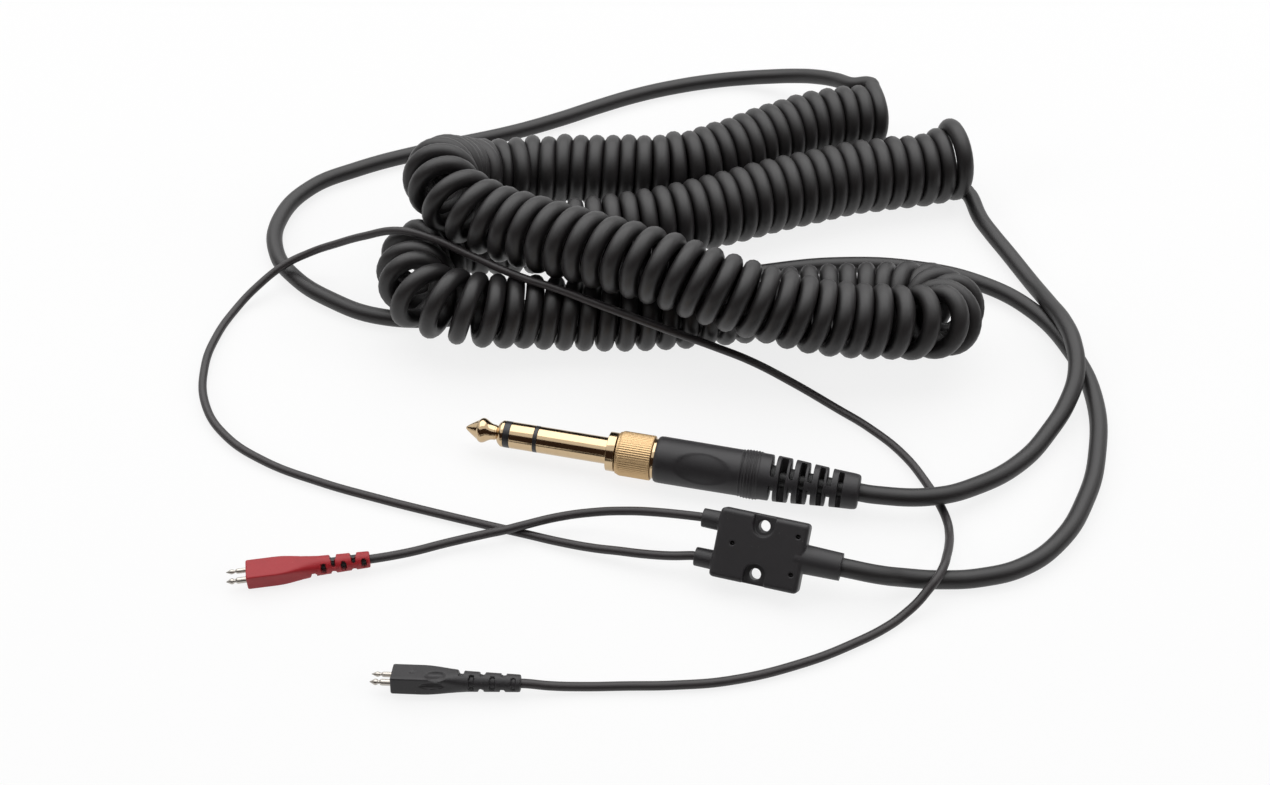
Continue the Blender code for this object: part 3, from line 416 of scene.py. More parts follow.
# ================================================================ round cord, coil to splitter
# It leaves the coil over its top, drops to the table, runs round the back and the left, under the
# coil, out to the right and into the splitter's tail.
SPLITTER_AT, SPLITTER_HEADING, SPLITTER_TILT = (27.8, -58.3, 7.9), -16.0, 45.0
BLOCK = (20.0, 15.6, 6.5)
TAIL_LENGTH = 8.2
SPLITTER_CORD_ROUTE = (
    (62.2, 112.4, 13.8), (57.8, 117.8, 11.8), (52.4, 123.2, 9.2), (46.8, 127.4, 6.6), (40.5, 130.3, 4.4),
    (33.0, 132.2, 2.6), (24.0, 131.4, 2.15), (12.5, 128.4, 2.15), (0.8, 124.0, 2.15), (-11.0, 118.0, 2.15),
    (-22.0, 111.8, 2.15), (-35.0, 105.5, 2.15), (-58.0, 97.0, 2.15), (-78.0, 88.0, 2.15),
    (-90.0, 79.5, 2.15), (-96.5, 66.0, 2.15), (-95.5, 51.5, 2.15), (-89.0, 41.0, 2.15), (-79.0, 32.5, 2.15),
    (-66.0, 26.0, 2.15), (-48.0, 25.0, 2.15), (-29.0, 29.0, 2.15), (-9.0, 33.0, 2.15), (12.0, 38.0, 2.15),
    (33.0, 43.2, 2.15), (54.0, 46.3, 2.15), (74.0, 44.8, 2.15), (90.0, 39.0, 2.15), (102.0, 28.5, 2.15),
    (109.5, 13.0, 2.15), (112.3, -4.0, 2.15), (109.3, -24.4, 2.15), (104.2, -38.0, 2.15),
    (96.3, -50.5, 2.15), (86.9, -58.2, 2.15), (77.0, -61.4, 2.15), (67.7, -62.2, 2.3), (59.5, -63.0, 4.0),
    (53.5, -64.2, 6.4),
)
splitter_frame = (Matrix.Translation(SPLITTER_AT)
                  @ Matrix.Rotation(math.radians(SPLITTER_HEADING), 4, "Z")
                  @ Matrix.Rotation(math.radians(SPLITTER_TILT), 4, "X"))
tail_end = BLOCK[0] / 2 + TAIL_LENGTH
splitter_cord_points = [tuple(coil_line[-1] + reach * coil_out) for reach in (0.0, 2.0)]
splitter_cord_points += list(SPLITTER_CORD_ROUTE)
splitter_cord_points += [on(splitter_frame, tail_end + reach, 0, 0) for reach in (1.5, 0.0)]
splitter_cord = cord_piece("splitter_cord", splitter_cord_points, CORD_D, True, jacket)
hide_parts("cord_splitter_side")

# ================================================================ thin leads
# Two slim leads leave the splitter's necks: the red plug's short and nearly straight, the black
# plug's in one long loop, over the splitter's cord and the coil and under the jack's cord.
LEAD_D = 2.05
PLUG_LENGTH = 27.3
NECK_LENGTH = 4.1
NECK_OUT = 4.4
RED_AT, RED_HEADING, RED_ROLL = (-86.3, -61.0, 2.6), 9.6, 2.0
BLACK_AT, BLACK_HEADING, BLACK_ROLL = (-51.3, -89.6, 2.6), -2.6, -16.0
RED_LEAD_ROUTE = (
    (-50.9, -54.1, 2.2), (-42.6, -51.0, 1.9), (-33.8, -49.1, 2.8), (-29.7, -48.3, 3.2), (-25.7, -47.1, 3.4),
    (-17.5, -45.1, 4.1), (-9.5, -45.1, 5.7), (-2.0, -46.6, 7.8), (4.7, -48.6, 9.6),
)
BLACK_LEAD_ROUTE = (
    (-17.9, -90.8, 1.7), (-11.0, -90.6, 1.15), (-2.1, -90.4, 1.1), (8.0, -90.2, 1.1), (20.0, -89.0, 1.1),
    (36.0, -84.3, 1.1), (46.8, -79.3, 1.1), (55.5, -74.0, 1.1), (59.0, -71.3, 1.6), (61.9, -69.1, 2.9),
    (64.3, -66.8, 4.4), (66.1, -65.0, 5.6), (68.0, -61.7, 5.9), (69.5, -57.2, 4.6), (70.8, -52.4, 2.9),
    (71.6, -47.9, 1.4), (71.7, -44.2, 1.1), (70.6, -38.6, 1.1), (68.5, -32.3, 1.1), (63.8, -22.4, 1.1),
    (56.7, -13.6, 1.1), (49.3, -6.8, 1.1), (38.0, 3.2, 1.1), (29.0, 8.5, 2.6), (20.0, 8.9, 7.0),
    (11.0, 8.3, 11.9), (1.0, 9.6, 15.6), (-9.0, 12.0, 18.4), (-18.5, 15.4, 20.2), (-28.5, 19.0, 21.4),
    (-40.5, 25.6, 22.4), (-51.0, 31.6, 23.3), (-60.0, 35.4, 22.6), (-69.0, 38.2, 18.6), (-77.0, 41.5, 13.4),
    (-85.0, 43.5, 8.6), (-91.5, 41.5, 6.2), (-98.0, 36.5, 3.4), (-103.0, 30.0, 1.2), (-106.5, 19.0, 1.1),
    (-107.5, 8.0, 1.1), (-105.0, -5.5, 1.1), (-98.5, -16.0, 1.1), (-88.0, -24.5, 1.1), (-74.0, -31.3, 1.1),
    (-59.3, -36.7, 1.05), (-43.5, -41.9, 1.05), (-33.8, -44.9, 1.05), (-25.3, -47.5, 1.1),
    (-17.3, -50.2, 1.4), (-9.5, -52.6, 2.0), (-3.6, -54.2, 2.8), (2.2, -55.8, 3.6), (7.8, -56.9, 4.3),
)
red_frame = lying(RED_AT, RED_HEADING, RED_ROLL)
black_frame = lying(BLACK_AT, BLACK_HEADING, BLACK_ROLL)
neck_end = -BLOCK[0] / 2 - NECK_LENGTH
lead_jacket = jacket_finish("lead_jacket", srgb(44, 41, 42), srgb(40, 37, 38), srgb(49, 45, 46))
leads = (("red_plug_lead", "red_lead", red_frame, RED_LEAD_ROUTE, 1, 0.079),
         ("black_plug_lead", "black_lead", black_frame, BLACK_LEAD_ROUTE, -1, 0.513))
for name, node, plug_frame, route, side_of, length in leads:
    points = [on(plug_frame, 0, 0, z) for z in (PLUG_LENGTH - 1, PLUG_LENGTH, PLUG_LENGTH + 1)]
    points += list(route)
    points += [on(splitter_frame, neck_end - reach, side_of * NECK_OUT, 0) for reach in (0.4, 0.0)]
    lead = cord_piece(name, points, LEAD_D, True, lead_jacket)
    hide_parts(node)
    place(on(plug_frame, 0, 0, PLUG_LENGTH))

# ================================================================ gold-plated jack
# The 6.35 mm jack is turned from brass and gold-plated, with black moulded rings between its
# contacts.  It screws on to the small plug by its knurled collar, over a bore with a liner.
def piece(name, mesh, finish, body, slot, *nodes):
    """Put a mesh in the scene as a piece that stands for solids of the frame."""
    mesh.materials.append(finish)
    made = bpy.data.objects.new(name, mesh)
    scene.collection.objects.link(made)
    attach(made, body)
    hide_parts(*nodes)


def turned(name, outline, at, around=96, form=None, bored=False):
    """A mesh turned round a connector's axis from (radius, z) points, front to rear.

    A form gives the radius all round a ring, and which points of it lie deep in a slot, to get painted
    shade.
    """
    angles = 2 * math.pi * np.arange(around) / around
    rings, deep = [], []
    for radius, z in outline:
        plain = np.full(around, radius), np.zeros(around, bool)
        reach, slot_shade = form(radius, z, angles) if form else plain
        deep.append(slot_shade)
        rings.append(np.column_stack((reach * np.cos(angles), reach * np.sin(angles), np.full(around, z))))
    axes = np.array(at)
    points = (np.vstack(rings) @ axes[:3, :3].T + axes[:3, 3] + np.array(TABLE_AT)) * MM
    following = (np.arange(around) + 1) % around
    faces = []
    for k in range(len(rings) if bored else len(rings) - 1):
        low, high = k * around, (k + 1) % len(rings) * around
        faces += [(low + i, low + j, high + j, high + i) for i, j in enumerate(following)]
    if not bored:
        faces += [tuple(range(around))[::-1], tuple(range(len(points) - around, len(points)))]
    mesh = bpy.data.meshes.new(name)
    mesh.from_pydata(points.tolist(), [], faces)
    # The points deep in slots, kept as a mask for painted shade.
    marks = mesh.attributes.new("slot_shade", "FLOAT", "POINT")
    marks.data.foreach_set("value", np.concatenate(deep).astype(np.float32))
    mesh.shade_smooth()
    mesh.set_sharp_from_angle(angle=math.radians(35))
    return mesh


def rounded(points, radius, steps=4):
    """An outline with its corners rounded off."""
    corners = [np.array(point, float) for point in points]
    soft = [corners[0]]
    for before, corner, after in zip(corners, corners[1:], corners[2:]):
        ends = [corner + unit(end - corner) * min(radius, 0.45 * np.linalg.norm(end - corner))
                for end in (before, after)]
        for t in np.linspace(0.0, 1.0, steps + 1):
            soft.append((1 - t)**2 * ends[0] + 2 * t * (1 - t) * corner + t**2 * ends[1])
    return soft + [corners[-1]]


gold, gold_shader, here = surface("gold_plate", srgb(196, 172, 138), 0.12, metallic=1.0)
wear = noise(here, 0.8, 4.0)
feed(gold_shader, "Roughness", 0.08 + 0.1 * wear)
feed(gold_shader, "Base Color", tint(wear, srgb(190, 165, 131), srgb(202, 179, 145)))
feed(gold_shader, "Normal", bump(noise(here, 6.0, 2.0), 0.0015))

knurl_gold, knurl_shader, here = surface("gold_plate_knurled", srgb(200, 170, 128), 0.48, metallic=1.0)
wear = noise(here, 3.0, 4.0)
feed(knurl_shader, "Roughness", 0.42 + 0.12 * wear)
feed(knurl_shader, "Base Color", tint(wear, srgb(193, 162, 119), srgb(207, 178, 137)))

black_plastic, plastic_shader, here = surface("black_insulator", srgb(34, 34, 36), 0.35)
grain = noise(here, 3.0, 3.0)
feed(plastic_shader, "Roughness", 0.3 + 0.12 * grain)
feed(plastic_shader, "Base Color", tint(grain, srgb(30, 30, 32), srgb(42, 41, 43)))

JACK_R = 3.175
TIP_FRONT = -0.4
TIP_REAR = 9.2
RING_FRONT, RING_REAR = 10.75, 16.5
SLEEVE_FRONT, FLANGE_FRONT, FLANGE_REAR = 17.45, 34.4, 36.4
FLANGE_R = 4.65
COLLAR_FRONT, COLLAR_REAR = 36.7, 45.1
COLLAR_R = 5.3
SOCKET_R, SOCKET_LINER_R = 2.9, 2.6
SOCKET_FRONT = 21.5
GAP = 0.02
STEM_R, RING_STEM_R, LINER_STEM_R = 0.75, 1.5, 2.2

ball = [(0.3, TIP_FRONT), (0.62, -0.05), (1.05, 0.55), (1.4, 1.05), (1.75, 1.6), (2.08, 2.1), (2.4, 2.6),
        (2.8, 3.05), (2.97, 3.5), (2.93, 3.95), (2.68, 4.5), (2.3, 5.1), (1.98, 5.75), (1.86, 6.3),
        (1.84, 6.85)]
ball = [(radius, z) for radius, z, _ in smooth_curve([(*point, 0.0) for point in ball], 0.12)]
shoulder = [(1.84, 6.86), (1.7, 6.9), (1.7, 7.25), (2.55, 7.75), (2.95, 8.2), (JACK_R, 8.55),
            (JACK_R, TIP_REAR), (STEM_R, TIP_REAR), (STEM_R, SOCKET_FRONT + 1.1)]
contacts = (
    ("jack_tip", "adapter_tip", gold, "gold_plate", ball + rounded(shoulder, 0.12)),
    ("jack_tip_insulator", "adapter_tip_insulator", black_plastic, "black_insulator",
     rounded([(STEM_R, TIP_REAR + GAP), (JACK_R, TIP_REAR + GAP), (JACK_R, RING_FRONT - GAP),
              (RING_STEM_R, RING_FRONT - GAP), (RING_STEM_R, SOCKET_FRONT + 0.3)], 0.05)),
    ("jack_ring", "adapter_ring", gold, "gold_plate",
     rounded([(RING_STEM_R, RING_FRONT), (JACK_R, RING_FRONT), (JACK_R, RING_REAR),
              (LINER_STEM_R, RING_REAR), (LINER_STEM_R, SOCKET_FRONT + 0.2)], 0.08)),
    ("jack_ring_insulator", "adapter_ring_insulator", black_plastic, "black_insulator",
     rounded([(LINER_STEM_R, RING_REAR + GAP), (JACK_R, RING_REAR + GAP), (JACK_R, SLEEVE_FRONT - GAP),
              (SOCKET_LINER_R, SLEEVE_FRONT - GAP), (SOCKET_LINER_R, SOCKET_FRONT)], 0.05)),
)
for name, node, finish, slot, outline in contacts:
    piece(name, turned(name, outline, jack_frame), finish, "adapter", slot, node)

sleeve = rounded([(SOCKET_R, SLEEVE_FRONT), (JACK_R, SLEEVE_FRONT), (JACK_R, FLANGE_FRONT),
                  (FLANGE_R, FLANGE_FRONT), (FLANGE_R, FLANGE_REAR), (SOCKET_R, FLANGE_REAR)], 0.15)
piece("jack_sleeve", turned("jack_sleeve", sleeve, jack_frame, bored=True), gold, "adapter", "gold_plate",
      "adapter_sleeve")

KNURLS = 60
KNURL_DEPTH = 0.09
COLLAR_BORE_R = 3.5
COLLAR_SHOULDER, COLLAR_EDGE = 0.9, 0.3


def knurled(radius, z, angles):
    """Fine straight grooves along the collar, that run out on its rounded shoulders."""
    share = min(1.0, max(0.0, (radius - COLLAR_R + 0.4) / 0.3))
    grooved = radius - share * KNURL_DEPTH * (0.5 + 0.5 * np.cos(KNURLS * angles))
    return grooved, np.zeros(len(angles), bool)


knurl_front = COLLAR_FRONT + COLLAR_SHOULDER
collar = rounded([(COLLAR_BORE_R, COLLAR_FRONT), (COLLAR_R - 0.35, COLLAR_FRONT),
                  (COLLAR_R - 0.3, knurl_front - 0.5), (COLLAR_R, knurl_front)]
                 + [(COLLAR_R, knurl_front + 0.8 * k) for k in range(1, 9)]
                 + [(COLLAR_R, COLLAR_REAR), (COLLAR_BORE_R, COLLAR_REAR)], COLLAR_EDGE)
piece("knurled_grip", turned("knurled_grip", collar, jack_frame, 6 * KNURLS, knurled, True), knurl_gold,
      "adapter", "gold_plate", "knurled_collar")


def dress(nodes, finish):
    """Give carried-over solids a finish."""
    for node in nodes:
        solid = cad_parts[node]
        solid.data.materials.clear()
        solid.data.materials.append(finish)


dress(("adapter_socket_liner", "red_pin_carrier", "black_pin_carrier", "splitter_core"), black_plastic)

# ================================================================ small plug
# The cord's own 3.5 mm plug: nested gold contacts on black rings, behind them the thread that the
# jack screws on to, and a plain ring that shows between the collar and the boot.
MINI_R, MINI_CORE_R = 1.75, 0.5
MINI_FRONT, MINI_TIP_REAR = 26.0, 29.2
MINI_RING_FRONT, MINI_RING_REAR = 29.9, 32.4
MINI_SLEEVE_FRONT, MINI_REAR = 33.1, 46.0
THREAD_FRONT, THREAD_REAR, THREAD_R = 39.9, 45.15, 3.2
THREAD_PITCH, THREAD_DEPTH = 0.75, 0.3
FERRULE_R, FERRULE_REAR = 4.75, 45.9
FERRULE_BORE_R = 2.0

mini_tip = [(0.3, MINI_FRONT), (0.8, MINI_FRONT + 0.5), (1.5, MINI_FRONT + 1.4), (1.5, MINI_FRONT + 1.8),
            (1.1, MINI_FRONT + 2.4), (MINI_R, MINI_FRONT + 2.9), (MINI_R, MINI_TIP_REAR),
            (MINI_CORE_R, MINI_TIP_REAR)]
mini_parts = (
    ("mini_tip", "small_plug_tip", gold, "gold_plate", mini_tip),
    ("mini_tip_insulator", "small_plug_tip_insulator", black_plastic, "black_insulator",
     [(MINI_CORE_R, MINI_TIP_REAR), (MINI_R, MINI_TIP_REAR + GAP), (MINI_R, MINI_RING_FRONT - GAP),
      (MINI_CORE_R, MINI_RING_FRONT)]),
    ("mini_ring", "small_plug_ring", gold, "gold_plate",
     [(MINI_CORE_R, MINI_RING_FRONT), (MINI_R, MINI_RING_FRONT), (MINI_R, MINI_RING_REAR),
      (MINI_CORE_R, MINI_RING_REAR)]),
    ("mini_ring_insulator", "small_plug_ring_insulator", black_plastic, "black_insulator",
     [(MINI_CORE_R, MINI_RING_REAR), (MINI_R, MINI_RING_REAR + GAP), (MINI_R, MINI_SLEEVE_FRONT - GAP),
      (MINI_CORE_R, MINI_SLEEVE_FRONT)]),
    ("mini_sleeve", "small_plug_sleeve", gold, "gold_plate",
     [(MINI_CORE_R, MINI_SLEEVE_FRONT), (MINI_R, MINI_SLEEVE_FRONT), (MINI_R, MINI_REAR),
      (MINI_CORE_R, MINI_REAR)]),
)
for name, node, finish, slot, outline in mini_parts:
    piece(name, turned(name, rounded(outline, 0.06, 3), jack_frame, 48), finish, "cable", slot, node)


def threaded(radius, z, angles):
    """The screw thread's ridge on the front of the ferrule."""
    turn = np.mod(z / THREAD_PITCH - angles / (2 * math.pi), 1.0)
    depth = THREAD_DEPTH if abs(radius - THREAD_R) < 0.05 else 0.0
    return radius - depth * np.abs(2 * turn - 1), np.zeros(len(angles), bool)


thread_rows = np.arange(THREAD_FRONT + 0.3, THREAD_REAR - 0.3, THREAD_PITCH / 8)
ferrule = ([(FERRULE_BORE_R, THREAD_FRONT), (THREAD_R - 0.4, THREAD_FRONT)]
           + [(THREAD_R, z) for z in thread_rows]
           + [(THREAD_R - 0.3, THREAD_REAR - 0.2)]
           + rounded([(THREAD_R - 0.3, THREAD_REAR), (FERRULE_R, THREAD_REAR), (FERRULE_R, FERRULE_REAR),
                      (FERRULE_BORE_R, FERRULE_REAR)], 0.15))
piece("threaded_ring", turned("threaded_ring", ferrule, jack_frame, 72, threaded), gold, "cable",
      "gold_plate", "threaded_ferrule")

# ================================================================ boot
# One moulding of satin black rubber: a round grip with a shallow oval hollow for the thumb, fine
# bands, and a tapered tail with slots bitten in from four sides down to the cord, so that it bends.
BOOT_FRONT, BOOT_REAR = 45.75, 93.6
BOOT_OUTLINE = (
    (3.9, 45.75), (4.7, 45.8), (5.2, 46.0), (5.45, 46.45), (5.5, 47.2), (5.48, 55.0), (5.42, 65.6),
    (5.45, 66.4), (5.62, 67.1), (5.66, 70.3), (5.5, 70.5), (5.44, 71.0), (5.36, 74.5), (5.2, 77.5),
    (4.98, 80.5), (4.7, 84.0), (4.4, 88.0), (4.18, 92.2), (4.05, 93.1), (3.75, 93.5), (3.3, 93.6),
)
HOLLOW_AT, HOLLOW_LONG, HOLLOW_HIGH, HOLLOW_DEEP = 57.4, 6.5, 3.6, 0.5
BAND_FRONT, BAND_REAR, BAND_PITCH, BAND_HEIGHT = 65.9, 70.1, 0.7, 0.1
RIM = 0.25
SLOT_DEEP = 0.3
# Painted shade: a dark colour for the deep floors of slots, where shade falls; in the red plug's slots it
# also stands for the black lead inside.
SLOT_SHADE_COLOUR = srgb(24, 23, 24)
SLOT_PITCH, CROSS_PITCH = 4.42, 4.33
# Slots sawn in: z, width, side they come from, how far out they start, radius of the core.
BOOT_SLOTS = [(75.95 + SLOT_PITCH * k, width, side, 1.35, 1.9)
              for k, width in enumerate((1.6, 1.3, 1.15, 1.1)) for side in (0, math.pi)]
BOOT_SLOTS += [(73.6 + CROSS_PITCH * k, width, side, 1.1, core)
               for k, (width, core) in enumerate(((1.0, 3.0), (0.95, 2.8), (1.0, 2.5), (1.05, 2.3)))
               for side in (-math.pi / 2, math.pi / 2)]


def rows_for(start, end, step, slots):
    """Where a slotted piece needs its rings: evenly, and close together at the slots' edges."""
    places = set(np.linspace(start, end, int((end - start) / step)).round(3))
    for at, width, *_ in slots:
        for edge, out in ((at - width / 2, -1), (at + width / 2, 1)):
            places.update(round(edge + out * away, 3) for away in (0.0, 0.02, 0.07, 0.15, RIM))
        places.add(round(at, 3))
    return sorted(places)


def bitten(reach, z, angles, slots):
    """The radius with slots sawn in to round ends, and which points lie deep in one, for painted shade."""
    slot_shade = np.zeros(len(angles), bool)
    for at, width, side, web, core in slots:
        out = abs(z - at) - width / 2
        if out > RIM:
            continue
        end = web + width / 2 - math.sqrt(max(0.0, (width / 2)**2 - (z - at)**2))
        floor = np.where(np.cos(angles - side) * reach > end, core, reach)
        if out < 0.005:
            slot_shade |= floor < reach - SLOT_DEEP
            reach = floor
        else:
            ease = RIM - math.sqrt(RIM**2 - (RIM - out)**2)
            reach = np.maximum(reach - ease, floor)
    return reach, slot_shade


def boot_form(radius, z, angles):
    """The boot's radius all round: hollow, bands and slots."""
    reach = np.full(len(angles), radius)
    if BAND_FRONT < z < BAND_REAR:
        reach += BAND_HEIGHT * math.sin(2 * math.pi * (z - BAND_FRONT) / BAND_PITCH)
    across = reach * np.sin(angles)
    inside = 1 - ((z - HOLLOW_AT) / HOLLOW_LONG)**2 - (across / HOLLOW_HIGH)**2
    inside = np.where(np.cos(angles) > 0, np.clip(inside, 0, 1), 0)
    reach -= HOLLOW_DEEP * np.sqrt(inside)
    return bitten(reach, z, angles, BOOT_SLOTS)


def rubber_finish(name, colour, dark, light, speck):
    """Satin moulded rubber: fine grain, slow mottling, specks of dust, and painted shade where a slot is
    deep.
    """
    finish, shader, here = surface(name, colour, 0.5)
    grain = noise(here, 4.0, 4.0)
    cloud = noise(here, 0.35, 3.0)
    speck_noise = noise(here, 2.6, 1.0)
    dust = speck_noise.math("GREATER_THAN", speck_noise, 0.79)
    feed(shader, "Roughness", 0.42 + 0.16 * grain)
    shade = tint(cloud, dark, light)
    shade = shade.node("Mix", {"data_type": "RGBA"}, out=2, i0=dust, i6=shade, i7=(*speck, 1.0))
    # Points marked deep in a slot take the dark slot colour: painted shade.
    inside = shade.node("Attribute", {"attribute_name": "slot_shade"}, 2)
    shade = shade.node("Mix", {"data_type": "RGBA"}, out=2, i0=inside, i6=shade, i7=(*SLOT_SHADE_COLOUR, 1.0))
    feed(shader, "Base Color", shade)
    feed(shader, "Normal", bump(grain, 0.02))
    return finish


rubber = rubber_finish("black_rubber", srgb(34, 32, 34), srgb(29, 28, 30), srgb(38, 36, 38),
                       srgb(92, 89, 88))
boot_rows = set(rows_for(BOOT_FRONT, BOOT_REAR, 0.55, BOOT_SLOTS))
boot_rows.update(np.arange(BAND_FRONT, BAND_REAR, BAND_PITCH / 6).round(3))
boot_rows.update(z for _, z in BOOT_OUTLINE)
radii, stations = np.array(BOOT_OUTLINE).T
boot = [(float(np.interp(z, stations, radii)), z) for z in sorted(boot_rows)]
piece("boot", turned("boot", boot, jack_frame, 160, boot_form), rubber, "cable", "black_rubber",
      "plug_boot")

# ================================================================ splitter
# A flat block moulded over the joint of the cords: two necks for the thin leads, a tapered tail for
# the round cord, two screw holes in seats that run out through its edges, and three mould marks.
BLOCK_ROUND = 0.95
HOLE_D, HOLE_SEAT_D, HOLE_SEAT_DEPTH = 2.6, 4.8, 1.6
HOLE_OUT = 5.4
MARKS = ((-6.1, 0.4), (7.9, 4.7), (7.9, -3.8))
MARK_D, MARK_DEPTH = 1.05, 1.1
NECK_D = 4.45
TAIL_D = (6.7, 6.2)
VOXEL = 0.17


def rod(shape, radii, start, end, sides=40):
    """A round rod or cone between two points, in a mesh under work."""
    start, end = Vector(start), Vector(end)
    turn = (end - start).to_track_quat("Z", "X").to_matrix().to_4x4()
    bmesh.ops.create_cone(shape, cap_ends=True, segments=sides, radius1=radii[0], radius2=radii[1],
                          depth=(end - start).length, matrix=Matrix.Translation((start + end) / 2) @ turn)


def slab(shape, size, middle):
    """A box in a mesh under work."""
    placed = Matrix.Translation(middle) @ Matrix.Diagonal((*size, 1.0))
    bmesh.ops.create_cube(shape, size=1.0, matrix=placed)


def working(name, shape):
    """A mesh under work as an object of its own."""
    mesh = bpy.data.meshes.new(name)
    shape.to_mesh(mesh)
    shape.free()
    made = bpy.data.objects.new(name, mesh)
    scene.collection.objects.link(made)
    return made


shape = bmesh.new()
slab(shape, BLOCK, (0, 0, 0))
bmesh.ops.bevel(shape, geom=list(shape.edges), offset=BLOCK_ROUND, segments=4, profile=0.5, affect="EDGES")
half = BLOCK[0] / 2
rod(shape, (TAIL_D[0] / 2, TAIL_D[1] / 2), (half - 2.0, 0, 0), (half + TAIL_LENGTH, 0, 0))
for side in (-1, 1):
    rod(shape, (NECK_D / 2, NECK_D / 2 - 0.1), (2.0 - half, side * NECK_OUT, 0),
        (-half - NECK_LENGTH, side * NECK_OUT, 0))
block = working("splitter_work", shape)
bites = []
seat_floor = BLOCK[2] / 2 - HOLE_SEAT_DEPTH
for side in (-1, 1):
    out = side * HOLE_OUT
    for radius, low in ((HOLE_D / 2, -BLOCK[2]), (HOLE_SEAT_D / 2, seat_floor)):
        shape = bmesh.new()
        rod(shape, (radius, radius), (0, out, low), (0, out, BLOCK[2]))
        bites.append(working("splitter_bite", shape))
    shape = bmesh.new()
    slab(shape, (HOLE_SEAT_D - GAP, BLOCK[1] / 2, BLOCK[2]),
         (0, out + side * BLOCK[1] / 4, seat_floor + BLOCK[2] / 2))
    bites.append(working("splitter_bite", shape))
for x, y in MARKS:
    shape = bmesh.new()
    rod(shape, (MARK_D / 2, MARK_D / 2), (x, y, BLOCK[2] / 2 - MARK_DEPTH), (x, y, BLOCK[2]), 20)
    bites.append(working("splitter_bite", shape))
for bite in bites:
    cut = block.modifiers.new("cut", "BOOLEAN")
    cut.operation, cut.object, cut.solver, cut.use_self = "DIFFERENCE", bite, "EXACT", True
even = block.modifiers.new("even", "REMESH")
even.mode, even.voxel_size = "VOXEL", VOXEL
soft = block.modifiers.new("soft", "SMOOTH")
soft.factor, soft.iterations = 0.5, 4
bpy.context.view_layer.update()
settled = block.evaluated_get(bpy.context.evaluated_depsgraph_get())
splitter_mesh = bpy.data.meshes.new_from_object(settled)
splitter_mesh.transform(Matrix.Scale(MM, 4) @ Matrix.Translation(TABLE_AT) @ splitter_frame)
splitter_mesh.shade_smooth()
splitter_mesh.materials.clear()
for leftover in (block, *bites):
    bpy.data.objects.remove(leftover)
piece("splitter", splitter_mesh, rubber, "cable", "black_rubber", "splitter_block")

# ================================================================ two-pin plugs
# Each earpiece's plug is one rubber moulding, red for the right: a square block for the fingers that
# turns round towards a slotted tail, and two contact pins of unequal thickness on a hidden carrier.
# Along the body: z, half its thickness, half its width, and how square it is.
PLUG_FORM = (
    (0.0, 1.7, 2.4, 16.0), (0.06, 1.9, 2.56, 16.0), (0.2, 1.98, 2.66, 16.0), (0.45, 2.02, 2.7, 16.0),
    (6.6, 2.03, 2.7, 16.0), (8.0, 2.05, 2.66, 12.0), (9.4, 2.1, 2.52, 8.0), (10.8, 2.16, 2.4, 5.0),
    (12.2, 2.22, 2.3, 3.4), (14.0, 2.25, 2.27, 2.4), (16.0, 2.2, 2.2, 2.0), (22.0, 2.0, 2.0, 2.0),
    (26.9, 1.86, 1.86, 2.0), (27.2, 1.76, 1.76, 2.0), (PLUG_LENGTH, 1.5, 1.5, 2.0),
)
# Slots of the tails: z, width, side in degrees, how far out they start, radius of the core.
RED_SLOTS = ([(25.95 - 4.48 * k, 1.35, side, 1.5 + 0.13 * k, 1.03)
              for k in range(3) for side in (66.0, 246.0)]
             + [(23.7 - 4.5 * k, 1.45, -42.0, 1.1, 1.45) for k in range(2)]
             + [(23.7 - 4.5 * k, 1.05, 30.0, 1.75, 1.03) for k in range(2)]
             + [(23.7 - 4.5 * k, 1.35, 134.0, 1.55, 1.45) for k in range(3)])
BLACK_SLOTS = ([(25.8 - 4.4 * k, 1.15, side, 1.3, 1.6) for k in range(3) for side in (66.0, 246.0)]
               + [(23.7 - 4.5 * k, 1.2, -28.0, 1.35, 1.15) for k in range(3)]
               + [(23.5 - 4.5 * k, 1.2, 152.0, 1.35, 1.2) for k in range(2)])
# Hollows: z, angle in degrees, half length, half width, depth.
RED_HOLLOWS = ()
BLACK_HOLLOWS = ((4.4, 4.0, 0.45, 0.45, 0.25), (9.4, 32.0, 2.2, 1.5, 0.75), (8.7, 83.0, 2.6, 0.8, 0.6))
PIN_PITCH = 2.7
PIN_D = (1.4, 1.15)


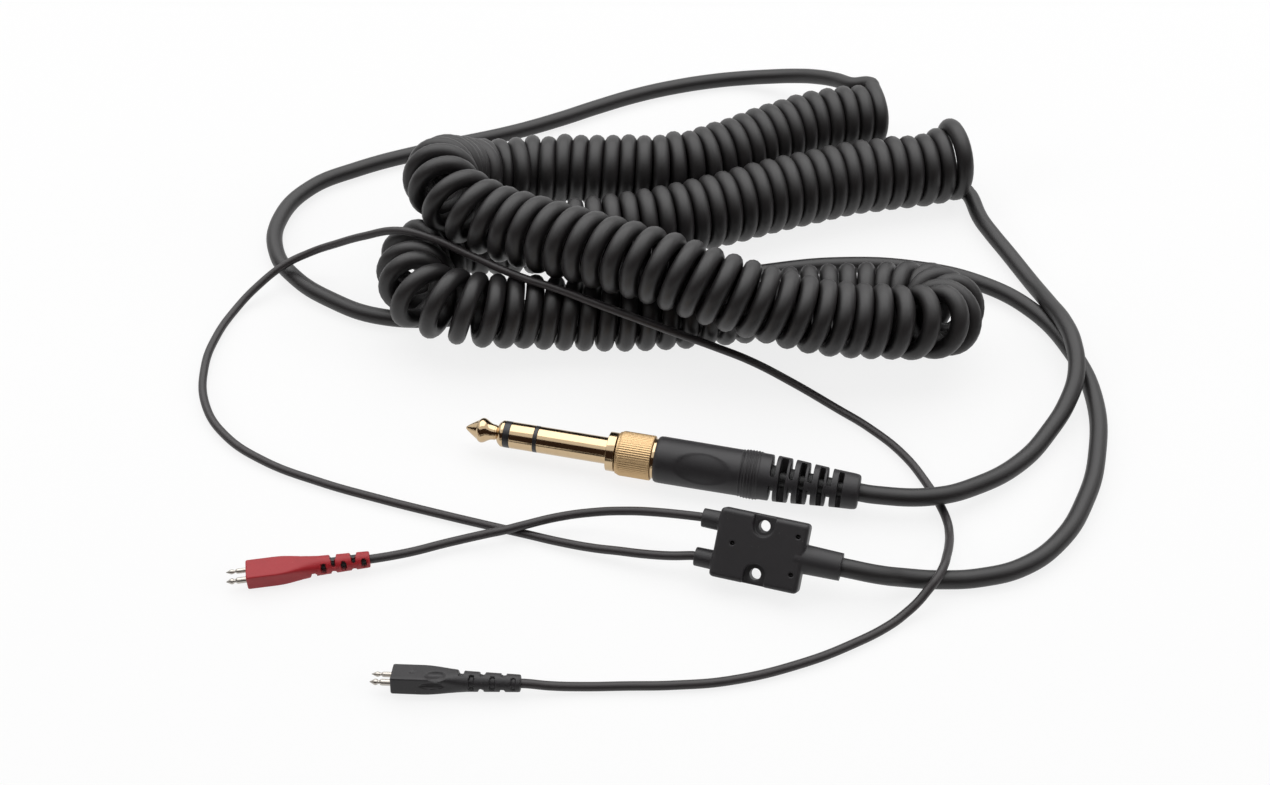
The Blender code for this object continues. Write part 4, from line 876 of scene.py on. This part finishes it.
def plug_form(slots, hollows):
    """The form of one plug's body, with its own slots and hollows."""
    def form(_, z, angles):
        half_t, half_w, square = (np.interp(z, stations, column) for column in plug_columns)
        power = np.abs(np.cos(angles) / half_t)**square + np.abs(np.sin(angles) / half_w)**square
        reach = power**(-1 / square)
        for at, angle, long, wide, deep in hollows:
            off = np.mod(angles - math.radians(angle) + math.pi, 2 * math.pi) - math.pi
            inside = 1 - ((z - at) / long)**2 - (off * reach / wide)**2
            reach = reach - deep * np.clip(inside, 0, 1)**0.7
        return bitten(reach, z, angles, slots)
    return form


stations, *plug_columns = np.array(PLUG_FORM).T
red = rubber_finish("red_rubber", srgb(163, 30, 38), srgb(156, 26, 34), srgb(170, 35, 43), srgb(186, 96, 96))
nickel, nickel_shader, here = surface("nickel_plate", srgb(178, 173, 166), 0.3, metallic=1.0)
wear = noise(here, 4.0, 3.0)
feed(nickel_shader, "Roughness", 0.22 + 0.16 * wear)
feed(nickel_shader, "Base Color", tint(wear, srgb(165, 160, 152), srgb(192, 187, 180)))

plugs = (("red", red_frame, red, RED_SLOTS, RED_HOLLOWS),
         ("black", black_frame, rubber, BLACK_SLOTS, BLACK_HOLLOWS))
for colour, plug_frame, finish, slots, hollows in plugs:
    name = colour + "_plug"
    slots = [(at, width, math.radians(side), web, core) for at, width, side, web, core in slots]
    plug_rows = set(rows_for(0.0, PLUG_LENGTH, 0.3, slots))
    plug_rows.update(z for z, *_ in PLUG_FORM)
    body = turned(name, [(1.0, z) for z in sorted(plug_rows)], plug_frame, 144, plug_form(slots, hollows))
    if colour == "black":
        # Its slots are shallow and show its own rubber, so they get no painted slot shade.
        body.attributes.remove(body.attributes["slot_shade"])
    piece(name, body, finish, "cable", colour + "_rubber", colour + "_plug_body")
    for diameter, side, size in ((PIN_D[0], 1, "large"), (PIN_D[1], -1, "small")):
        pin = diameter / 2
        outline = [(0.06, -4.5), (0.4 * pin, -4.1), (0.9 * pin, -3.5), (pin, -3.2), (0.8 * pin, -2.85),
                   (0.55 * pin, -2.6), (0.55 * pin, -2.4), (0.9 * pin, -2.15), (pin, -1.95), (pin, 4.8),
                   (0.2, 5.0)]
        name = "%s_plug_%s_pin" % (colour, size)
        at = plug_frame @ Matrix.Translation((0, side * PIN_PITCH / 2, 0))
        piece(name, turned(name, rounded(outline, 0.12, 2), at, 32), nickel, "cable", "nickel_plate",
              "%s_%s_pin" % (colour, size))
